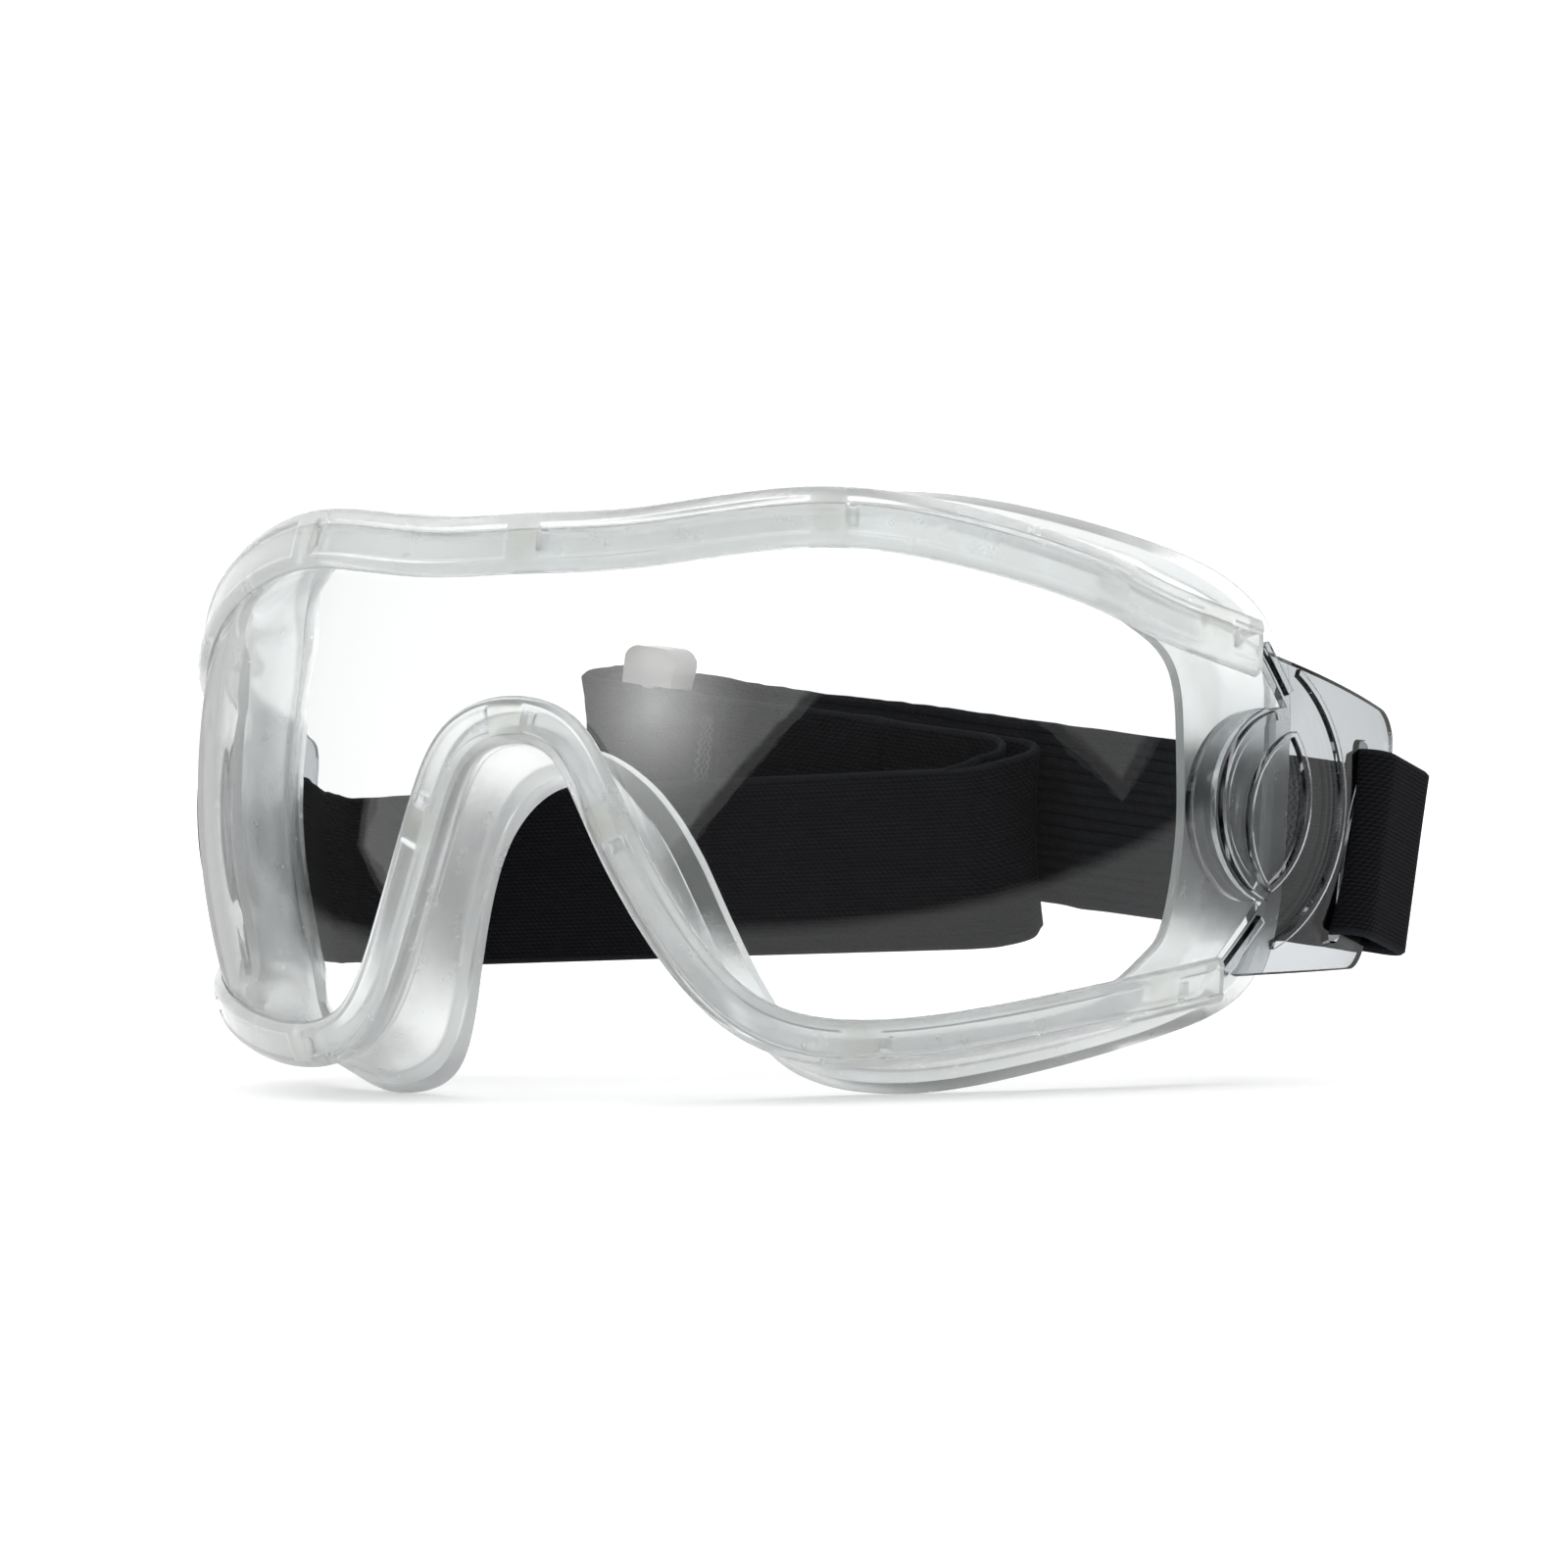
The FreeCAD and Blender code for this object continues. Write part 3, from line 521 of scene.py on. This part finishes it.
webs = {
    # places along the rails where a solid web goes through a notch of the lens, as (reach, height)
    "upper": [(0.0, 32.8), (42.8, 34.9), (97.6, 21.0)],
    "lower": [(0.0, 10.3), (13.0, -3.0), (45.5, -31.6), (88.0, -26.6)],
    "halfLength": 2.3, "slotStart": 2.7, "slotEnd": 3.8, "slotDepth": 0.85, "stripDepth": 0.32,
}


def webPlaces(key):
    return [(sign * reach, height) for reach, height in webs[key]
            for sign in (1, -1) if reach or sign == 1]


def lipPiece(name, line, half, places, inward):
    # the front lip: a crowned bead with a strip let into it, stopped at the webs, and slots beside them
    s = softFrame
    stations = stationsOn(mirroredLine(line), s["lipStations"])
    flat = np.array([place for place, side in stations])
    length = np.concatenate([[0.0], np.cumsum(np.linalg.norm(np.diff(flat, axis=0), axis=1))])
    middles = [length[np.argmin(((flat - np.array(place)) ** 2).sum(1))] for place in places]
    shares = np.linspace(-1.0, 1.0, 31)
    crown = 0.5 + (s["lip"] - 0.5) * (1.0 - np.abs(shares) ** 3.0) ** 0.55
    strip = smoothStep(-0.66, -0.54, shares) * (1.0 - smoothStep(0.44, 0.56, shares))
    groove = smoothStep(-0.40, -0.28, shares) * (1.0 - smoothStep(0.22, 0.34, shares))
    floor = -shell["thickness"] - 1.2
    sections = []
    for (place, side), along in zip(stations, length):
        station = (place, -side if inward else side)
        apart = np.array([along - middle for middle in middles])
        away = smoothStep(webs["halfLength"], webs["halfLength"] + 0.5, np.abs(apart)).min()
        beside = smoothStep(webs["slotStart"] - 0.3, webs["slotStart"] + 0.1, apart)
        beside *= 1.0 - smoothStep(webs["slotEnd"] - 0.1, webs["slotEnd"] + 0.3, apart)
        lift = crown - strip * away * webs["stripDepth"] - groove * beside.max() * webs["slotDepth"]
        section = [offLine(station, share * half, l) for share, l in zip(shares, lift)]
        section += [offLine(station, half, floor), offLine(station, s["bite"], floor),
                    offLine(station, s["bite"], shell["gap"]), offLine(station, -half, shell["gap"])]
        sections.append([atHome(p) for p in section])
    return outwardFaces(newMesh(name, *loft(sections, closedRun=False, capped=True)))


def fuse(body, *others):
    for other in others:
        cut = body.modifiers.new("fuse", "BOOLEAN")
        cut.operation = "UNION"
        cut.solver = "EXACT"
        cut.object = other
    settle(body)
    for other in others:
        mesh = other.data
        bpy.data.objects.remove(other)
        bpy.data.meshes.remove(mesh)
    return body


def buildFrame():
    s = softFrame
    upper, lower, side, rim = frameLines()
    drop, temple, high = s["cheekDrop"], s["templeReach"], s["browHeight"]
    longUpper = upper + [(temple + 10.5, high - 17.4)]
    longLower = lower + [(temple + 3.5, 6.4 - drop)]
    body = skirtPiece(upper, lower, side, rim)
    body.name = "soft_frame_body"
    fuse(body, lipPiece("upperLip", longUpper, s["browHalf"], webPlaces("upper"), False),
         lipPiece("lowerLip", longLower, s["cheekHalf"], webPlaces("lower"), True))
    points = np.empty(len(body.data.vertices) * 3)
    body.data.vertices.foreach_get("co", points)
    reach, height, lift = overShell(points.reshape(-1, 3))
    solid = np.zeros(len(reach))
    for place in webPlaces("upper") + webPlaces("lower"):
        apart = np.hypot(reach - place[0], height - place[1])
        solid = np.maximum(solid, (1.0 - smoothStep(1.8, 3.0, apart)) * (lift > -1.0))
    mask = body.data.attributes.new("web", "FLOAT", "POINT")
    mask.data.foreach_set("value", solid.astype(np.float32))
    body.data.set_sharp_from_angle(angle=math.radians(38.0))
    body.data.polygons.foreach_set("use_smooth", [True] * len(body.data.polygons))
    body.data.materials.clear()
    body.data.materials.append(milkyMaterial)
    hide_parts("soft_frame")
    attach(body, "goggles")
    return body


frameBody = buildFrame()
print("soft frame:", len(frameBody.data.polygons), "faces")


def dress(name, material):
    obj = nodes[name]
    obj.data.materials.clear()
    obj.data.materials.append(material)
    return obj


dress("lens", lensMaterial)
for name in ("left_strap_plate", "right_strap_plate"):
    dress(name, plateMaterial)
print("lens and plates dressed")

band = {
    "plateEnd": 90.0, "plateRearTop": 8.5, "barWidth": 8.0, "slotWidth": 3.0, "barSlant": 13.0,
    "plate": 2.2, "height": -8.0, "plyGap": 0.5, "barGap": 1.2, "foldReach": 30.0, "foldLeft": 43.0,
    "atMiddle": -1.6, "rise": 0.153,    # the middle ply's height at x = 0 and its slope
    "cornerBehind": 4.4, "middleBehind": 7.2, "rearBehind": 8.5,    # steps from slot to rear run
    "outerBehind": 2.5, "frontAhead": 6.0, "frontRise": 2.4, "foldInset": 5.5, "rearOffset": 3.5,
    "tailRun": 18.0, "sewnFrom": 3.0, "sewnTo": 8.0,
    "sliderPlace": 32.0, "sliderWidth": 8.0, "sliderBar": 2.2, "sliderBarThickness": 1.3,
    "slideGap": 0.3, "slideTravel": 20.0, "step": 0.9, "sewnTail": 9.0, "endRoom": 4.5,
    "perCord": 4, "flatShare": 0.955,
    "smallTurn": 3.0, "cornerTurn": 4.0, "innerTurn": 4.4, "outerTurn": 6.2,   # radii of the bends
}
barLean = math.tan(math.radians(band["barSlant"]))
pitch = elastic["thickness"] + band["plyGap"]
halfBand = 0.5 * elastic["width"]
plateSag = halfBand ** 2 / (2.0 * shell["uprightRadius"])
barX = (shell["planRadius"] - 0.5 * band["plate"] - 0.5 * plateSag
        - band["height"] ** 2 / (2.0 * shell["uprightRadius"]))
plySpread = 0.5 * (band["plate"] + elastic["thickness"] + plateSag) + band["barGap"]
slotY = (band["plateEnd"] - (band["plateRearTop"] - band["height"]) * barLean
         - (band["barWidth"] + 0.5 * band["slotWidth"]) / math.cos(math.radians(band["barSlant"])))
cornerY = slotY + band["barWidth"] + 0.5 * band["slotWidth"] + band["cornerBehind"]
middleY = cornerY + band["middleBehind"]
middleInnerY = middleY - pitch
rearY = middleY + band["rearBehind"]


def middleHeight(x):
    return band["atMiddle"] - band["rise"] * x


def headbandUp(point):
    share = smoothStep(barX - 22.0, barX - 6.0, abs(point.x))
    inward = math.copysign(-band["height"] / shell["uprightRadius"], point.x)
    return Vector((share * inward, share * barLean, 1.0)).normalized()


def slideUp(point):
    return Vector((band["rise"], 0.0, 1.0)).normalized()


def headbandCorners():
    # from the open end near the slider round the left bar, both folds and the right bar
    outY = cornerY + band["outerBehind"]
    low = band["height"] - barLean * (outY - slotY)
    outX, inX = barX + plySpread, barX - plySpread
    turn = 0.99 * plySpread
    frontY = cornerY - band["frontAhead"]
    frontHeight = low + band["frontRise"]
    foldReach, foldLeft = band["foldReach"], band["foldLeft"]
    innerFold = foldReach - band["foldInset"]
    looseEnd = (band["endRoom"] + band["slideTravel"] - band["sliderPlace"]
                + 0.5 * band["sliderWidth"] + band["sewnTail"])
    small, bend = band["smallTurn"], band["cornerTurn"]
    inner, outer = band["innerTurn"], band["outerTurn"]
    foldHeight = middleHeight(-foldLeft) + 2.0
    rearStart = cornerY + band["rearOffset"]
    slope = (rearY - rearStart) / (outX + foldLeft)
    climb = (foldHeight - low) / (outX + foldLeft)
    tailStart = rearStart - pitch + slope * (outX - inX)
    tailRun = band["tailRun"]
    return [
        (looseEnd, middleInnerY, middleHeight(looseEnd), 0.0),
        (innerFold, middleInnerY, middleHeight(innerFold), inner),
        (innerFold, frontY + pitch, frontHeight, inner),
        (-outX, outY, low, bend),
        (-outX, slotY, band["height"], turn),
        (-inX, slotY, band["height"], turn),
        (-inX, cornerY, low, small),
        (foldReach, frontY, frontHeight, outer),
        (foldReach, middleY, middleHeight(foldReach), outer),
        (-foldLeft, middleY, middleHeight(-foldLeft), bend),
        (-foldLeft, rearY, foldHeight, bend),
        (outX, rearStart, low, bend),
        (outX, slotY, band["height"], turn),
        (inX, slotY, band["height"], turn),
        (inX, tailStart, low + climb * (outX - inX), small),
        (inX - tailRun, tailStart + slope * tailRun, low + climb * (outX - inX + tailRun), 0.0),
    ]


def endLoopCorners(joinStart):
    place = -band["sliderPlace"]
    left = place - 0.5 * band["sliderBar"] - band["slideGap"] - 0.5 * elastic["thickness"]
    frontY = middleInnerY - elastic["thickness"] - band["sliderBarThickness"] - 2.0 * band["slideGap"]
    tail = place + 0.5 * band["sliderWidth"] + band["sewnTail"]
    turn = 0.49 * (middleInnerY - frontY)
    sewnY = middleInnerY - pitch
    sewnFrom, sewnTo = place + band["sewnFrom"], place + band["sewnTo"]
    return [
        (joinStart, middleInnerY, middleHeight(joinStart), 0.0),
        (left, middleInnerY, middleHeight(left), turn),
        (left, frontY, middleHeight(left), turn),
        (sewnFrom, frontY, middleHeight(sewnFrom), band["cornerTurn"]),
        (sewnTo, sewnY, middleHeight(sewnTo), band["cornerTurn"]),
        (tail - 0.5, sewnY, middleHeight(tail - 0.5), 0.0),
    ]


def bandRoute(corners):
    # even points along straight runs joined by arcs, and how far along each corner's arc is
    points = [Vector(corners[0][:3])]

    def runTo(target):
        way = target - points[-1]
        start = points[-1].copy()
        steps = max(int(round(way.length / band["step"])), 1)
        if way.length > 0.02:
            points.extend(start + way * (k / steps) for k in range(1, steps + 1))

    marks = [0]
    for before, at, after in zip(corners, corners[1:], corners[2:]):
        corner = Vector(at[:3])
        toA = (Vector(before[:3]) - corner).normalized()
        toC = (Vector(after[:3]) - corner).normalized()
        half = 0.5 * toA.angle(toC)
        reach = at[3] / math.tan(half)
        centre = corner + (toA + toC).normalized() * (at[3] / math.sin(half))
        entry, leave = corner + toA * reach, corner + toC * reach
        runTo(entry)
        first, last = entry - centre, leave - centre
        turn = first.angle(last)
        steps = max(int(turn / math.radians(7.0)), 2)
        for k in range(1, steps + 1):
            share = k / steps
            a = math.sin((1.0 - share) * turn) / math.sin(turn)
            b = math.sin(share * turn) / math.sin(turn)
            points.append(centre + first * a + last * b)
        marks.append(len(points) - 1)
    runTo(Vector(corners[-1][:3]))
    return points, marks


def bandPiece(name, corners, upAt, ribFrom=None):
    # a woven band: rounded selvedges and cords on one face where it is ribbed
    points, marks = bandRoute(corners)
    half, thick = halfBand, 0.5 * elastic["thickness"]
    cords = elastic["cords"]
    columns = cords * band["perCord"]
    shares = np.linspace(-1.0, 1.0, columns + 1)
    turned = np.clip((np.abs(shares) - band["flatShare"]) / (1.0 - band["flatShare"]), 0.0, 1.0)
    rounding = np.sqrt(np.clip(1.0 - turned ** 2, 0.0, 1.0))    # thins the band to its round edges
    body = thick * (0.30 + 0.70 * rounding)
    waves = np.abs(np.sin(np.linspace(0.0, cords * math.pi, columns + 1))) ** 0.6
    places = [0.0]
    for a, b in zip(points, points[1:]):
        places.append(places[-1] + (b - a).length)
    sections, uvAcross, uvAlong, ribbed, edge = [], [], [], [], []
    start = places[marks[ribFrom]] if ribFrom is not None else 1e9
    for k, point in enumerate(points):
        before, after = points[max(k - 1, 0)], points[min(k + 1, len(points) - 1)]
        along = (after - before).normalized()
        up = upAt(point)
        across = (up - along * up.dot(along)).normalized()
        face = along.cross(across).normalized()
        share = float(smoothStep(start - 1.0, start + 6.0, places[k]))
        dip = share * elastic["cordHeight"]
        section = []
        for j in range(columns + 1):
            crown = body[j] - dip * (1.0 - waves[j]) * rounding[j]
            section.append(atHome(point + across * (shares[j] * half) + face * crown))
        for j in range(columns, -1, -1):
            section.append(atHome(point + across * (shares[j] * half) - face * body[j]))
        sections.append(section)
        wave = list(waves * share) + list(np.zeros(columns + 1))
        ribbed += wave
        border = smoothStep(0.93, 0.965, np.abs(shares))
        edge += list(border) + list(border[::-1])
        uvAcross += list(shares * half) + list((shares * half)[::-1])
        uvAlong += [places[k]] * (2 * (columns + 1))
    obj = newMesh(name, *loft(sections, closedRun=False, capped=True))
    mesh = obj.data
    layer = mesh.uv_layers.new(name="band")
    corner = np.empty(len(mesh.loops), int)
    mesh.loops.foreach_get("vertex_index", corner)
    flat = np.stack([np.array(uvAcross)[corner], np.array(uvAlong)[corner]], 1)
    layer.data.foreach_set("uv", flat.ravel())
    for label, values in (("ribbed", ribbed), ("edge", edge)):
        mask = mesh.attributes.new(label, "FLOAT", "POINT")
        mask.data.foreach_set("value", np.array(values, np.float32))
    mesh.materials.append(bandMaterial)
    outwardFaces(obj)
    print(name, "is", round(places[-1], 1), "mm along its middle")
    return obj


strap = bandPiece("headband_band", headbandCorners(), headbandUp, ribFrom=10)
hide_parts("headband")
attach(strap, "goggles")

looseEnd = headbandCorners()[0][0]
loop = bandPiece("headband_slider_run", endLoopCorners(looseEnd), slideUp)
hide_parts("headband_end_loop")
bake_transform(loop)
print("headband made")

tack = {"rows": 3, "stitches": 15, "width": 20.0, "length": 2.4}


def frontOf(start, end, upAt):
    front = upAt(end).cross((end - start).normalized()).normalized()
    return -front if front.y > 0 else front


def tackPiece(name, start, end, share, upAt):
    # a bar tack: close zigzag threads across the band, sunk a little into it
    along = (end - start).normalized()
    up = upAt(end)
    up = (up - along * up.dot(along)).normalized()
    front = frontOf(start, end, upAt)
    middle = start + (end - start) * share + front * (0.5 * elastic["thickness"] + 0.05)
    curve = bpy.data.curves.new(name, "CURVE")
    curve.dimensions = "3D"
    curve.bevel_depth = thread["radius"] * mm
    curve.bevel_resolution = 3
    for row in range(tack["rows"]):
        across = (row - 0.5 * (tack["rows"] - 1)) * tack["length"] / tack["rows"]
        count = tack["stitches"] * 2
        line = curve.splines.new("POLY")
        line.points.add(count * 4)
        for k in range(count * 4 + 1):
            place = k / (count * 4)
            swing = 0.36 * math.sin(place * count * math.pi) * tack["length"] / tack["rows"]
            rise = 0.09 * math.cos(place * count * 2.0 * math.pi) + 0.02
            point = middle + up * ((place - 0.5) * tack["width"])
            point += along * (across + swing) + front * rise
            line.points[k].co = (*atHome(point), 1.0)
    obj = bpy.data.objects.new(name, curve)
    bpy.context.scene.collection.objects.link(obj)
    curve.materials.append(stitchMaterial)
    return obj


corners = headbandCorners()
tailFrom, tailTo = Vector(corners[-2][:3]), Vector(corners[-1][:3])
plateTack = tackPiece("plate_stitch_threads", tailFrom, tailTo, 0.7, headbandUp)
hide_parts("plate_stitching")
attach(plateTack, "goggles")
corners = endLoopCorners(looseEnd)
loopFrom, loopTo = Vector(corners[-2][:3]), Vector(corners[-1][:3])
sliderTack = tackPiece("slider_stitch_threads", loopFrom, loopTo, 0.5, slideUp)
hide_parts("slider_stitching")
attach(sliderTack, "slider")

slider = dress("strap_slider", capMaterial)
soften = slider.modifiers.new("soften", "BEVEL")
soften.width = 0.45 * mm
soften.segments = 3
soften.limit_method = "ANGLE"
print("stitching and slider made")

studio = {
    "backdrop": 1.15, "fill": 1.42,    # seen directly and through glass, and by everything else
    # what sharp reflections see: a dim room, a table with its edge and corners in degrees, a wall
    "gloss": 0.05, "table": 0.5, "tableDrop": 21.0, "tableTurn": 20.0, "wall": 0.6, "wallTurn": -150.0,
    "floorColour": (0.97, 0.97, 0.97, 1.0), "floorGlow": 0.22, "floorSize": 30.0,
}


def towards(azimuth, elevation):
    across, up = math.radians(azimuth), math.radians(elevation)
    return Vector((math.sin(across) * math.cos(up), -math.cos(across) * math.cos(up), math.sin(up)))


def sharpMirror(tree, path):
    # 1 on a path that came by a perfectly sharp reflection, as from the lens and plates
    mirrored = mathNode(tree, "MINIMUM", path.outputs["Glossy Depth"], 1.0)
    return mathNode(tree, "MULTIPLY", mirrored, path.outputs["Is Singular Ray"])


def buildWorld():
    # a white backdrop and even fill; sharp reflections see a dim room over a pale table instead
    world = bpy.data.worlds.new("studio")
    bpy.context.scene.world = world
    world.use_nodes = True
    tree = world.node_tree
    back = tree.nodes["Background"]
    drop, turn = math.radians(studio["tableDrop"]), math.radians(studio["tableTurn"])
    where = tree.nodes.new("ShaderNodeTexCoord").outputs["Generated"]
    parts = tree.nodes.new("ShaderNodeSeparateXYZ")
    tree.links.new(where, parts.inputs[0])
    folded = tree.nodes.new("ShaderNodeCombineXYZ")
    tree.links.new(mathNode(tree, "ABSOLUTE", parts.outputs[0]), folded.inputs[0])
    for k in (1, 2):
        tree.links.new(parts.outputs[k], folded.inputs[k])
    half = folded.outputs[0]
    # the table's far edge is level in the middle and climbs to the horizon on both sides
    sideways = dotNode(tree, half, (math.cos(turn), math.sin(turn), 0.0))
    tilted = (math.sin(turn) * math.sin(drop), -math.cos(turn) * math.sin(drop), math.cos(drop))
    climbing = dotNode(tree, half, tilted)
    flat = mathNode(tree, "ADD", parts.outputs[2], math.sin(drop))
    above = rangeNode(tree, mathNode(tree, "GREATER_THAN", sideways, 0.0), 0.0, 1.0, flat, climbing)
    room = rangeNode(tree, above, -0.02, 0.02, studio["table"], studio["gloss"])
    backWall = dotNode(tree, where, tuple(towards(studio["wallTurn"], 0.0)))
    room = rangeNode(tree, backWall, 0.62, 0.74, room, studio["wall"])
    path = tree.nodes.new("ShaderNodeLightPath")
    mirrored = sharpMirror(tree, path)
    seen = mathNode(tree, "MAXIMUM", path.outputs["Is Camera Ray"], path.outputs["Is Singular Ray"])
    level = rangeNode(tree, seen, 0.0, 1.0, studio["fill"], studio["backdrop"])
    level = rangeNode(tree, mirrored, 0.0, 1.0, level, room)
    tree.links.new(level, back.inputs["Strength"])
    back.inputs["Color"].default_value = (1.0, 1.0, 1.0, 1.0)


def sheetMesh(name, x, y):
    corners = [(-x, -y, 0.0), (x, -y, 0.0), (x, y, 0.0), (-x, y, 0.0)]
    return newMesh(name, corners, [(0, 1, 2, 3)], smooth=False)


def buildFloor():
    side = 0.5 * studio["floorSize"]
    floor = sheetMesh("floor", side, side)
    material, tree, shader = newMaterial("paleFloor")
    speck = noiseNode(tree, objectPlace(tree), 40.0, 3.0)
    colour = mixColour(tree, speck, studio["floorColour"], (0.95, 0.95, 0.95, 1.0))
    tree.links.new(colour, shader.inputs["Base Color"])
    shader.inputs["Roughness"].default_value = 0.9
    shader.inputs["Emission Color"].default_value = (1.0, 1.0, 1.0, 1.0)
    shader.inputs["Emission Strength"].default_value = studio["floorGlow"]
    path = tree.nodes.new("ShaderNodeLightPath")
    tree.links.new(mathNode(tree, "SUBTRACT", 1.0, sharpMirror(tree, path)), shader.inputs["Alpha"])
    floor.data.materials.append(material)


softBoxes = {
    # direction from the goggles in degrees, distance and sides in metres, turn about its own axis,
    # radiance of the sheet, of its hot middle and of its rim, and how wide the glow and the rim are
    "leftBox": {
        "azimuth": -16.0, "elevation": 14.0, "away": 1.0, "size": (2.26, 1.17), "turn": 45.0,
        "radiance": 1.0, "hotSpot": (-1.0, 14.0), "middle": 5.0, "spread": 0.42,
        "rim": 0.35, "rimWidth": 0.05,
    },
    "rightBox": {
        "azimuth": 82.0, "elevation": 29.0, "away": 1.0, "size": (0.86, 0.86), "turn": 50.0,
        "radiance": 0.55, "hotSpot": (82.0, 40.0), "middle": 1.0, "spread": 0.4,
        "rim": 0.25, "rimWidth": 0.05,
    },
    "topBox": {
        "azimuth": 0.0, "elevation": 80.0, "away": 1.1, "size": (0.9, 0.9), "turn": 0.0,
        "radiance": 1.8, "hotSpot": (0.0, 80.0), "middle": 2.6, "spread": 0.4,
        "rim": 1.5, "rimWidth": 0.05,
    },
}


def softBox(name, azimuth, elevation, away, size, turn,
            radiance, hotSpot, middle, spread, rim, rimWidth):
    x, y = 0.5 * size[0], 0.5 * size[1]
    obj = sheetMesh(name, x, y)
    out, hot = towards(azimuth, elevation), towards(*hotSpot)
    pose = out.to_track_quat("Z", "Y") @ Quaternion((0, 0, 1), math.radians(turn))
    obj.location = out * away + Vector((0.0, 0.0, 0.04))
    obj.rotation_euler = pose.to_euler()
    hotPlace = pose.inverted() @ (hot * (away / hot.dot(out)) - out * away)
    material, tree, shader = newMaterial(name)
    place = objectPlace(tree)
    split = tree.nodes.new("ShaderNodeSeparateXYZ")
    tree.links.new(place, split.inputs[0])
    apart = tree.nodes.new("ShaderNodeVectorMath")
    apart.operation = "DISTANCE"
    tree.links.new(place, apart.inputs[0])
    apart.inputs[1].default_value = hotPlace
    glow = rangeNode(tree, apart.outputs["Value"], 0.0, spread, 1.0, 0.0)
    glow = mathNode(tree, "POWER", glow, 2.0)
    level = rangeNode(tree, glow, 0.0, 1.0, radiance, middle)
    toSide = mathNode(tree, "SUBTRACT", x, mathNode(tree, "ABSOLUTE", split.outputs[0]))
    toEnd = mathNode(tree, "SUBTRACT", y, mathNode(tree, "ABSOLUTE", split.outputs[1]))
    toEdge = mathNode(tree, "MINIMUM", toSide, toEnd)
    inside = rangeNode(tree, toEdge, rimWidth - 0.01, rimWidth + 0.01, rim, level)
    shader.inputs["Base Color"].default_value = (0.0, 0.0, 0.0, 1.0)
    shader.inputs["Specular IOR Level"].default_value = 0.0
    shader.inputs["Emission Color"].default_value = (1.0, 1.0, 1.0, 1.0)
    tree.links.new(inside, shader.inputs["Emission Strength"])
    # looked at straight, or straight through the lens, a sheet is not there
    path = tree.nodes.new("ShaderNodeLightPath")
    bounced = mathNode(tree, "ADD", path.outputs["Glossy Depth"], path.outputs["Diffuse Depth"])
    tree.links.new(mathNode(tree, "MINIMUM", bounced, 1.0), shader.inputs["Alpha"])
    obj.data.materials.append(material)
    return obj


view = {"azimuth": 27.0, "roll": 1.3, "place": (0.39426, -0.74945, 0.04058), "focal": 144.0}


def buildCamera():
    turn, roll = math.radians(view["azimuth"]), math.radians(view["roll"])
    back = Vector((math.sin(turn), -math.cos(turn), 0.0))
    level = Vector((math.cos(turn), math.sin(turn), 0.0))
    up = Vector((0.0, 0.0, 1.0))
    right = level * math.cos(roll) - up * math.sin(roll)
    top = level * math.sin(roll) + up * math.cos(roll)
    data = bpy.data.cameras.new("camera")
    data.lens = view["focal"]
    data.sensor_width = 36.0
    data.clip_start, data.clip_end = 0.01, 20.0
    camera = bpy.data.objects.new("camera", data)
    bpy.context.scene.collection.objects.link(camera)
    axes = Matrix((right, top, back)).transposed().to_4x4()
    camera.matrix_world = Matrix.Translation(view["place"]) @ axes
    bpy.context.scene.camera = camera


buildWorld()
buildFloor()
for name, facts in softBoxes.items():
    softBox(name, **facts)
buildCamera()
bpy.context.scene.view_settings.view_transform = "Standard"
print("stage set")
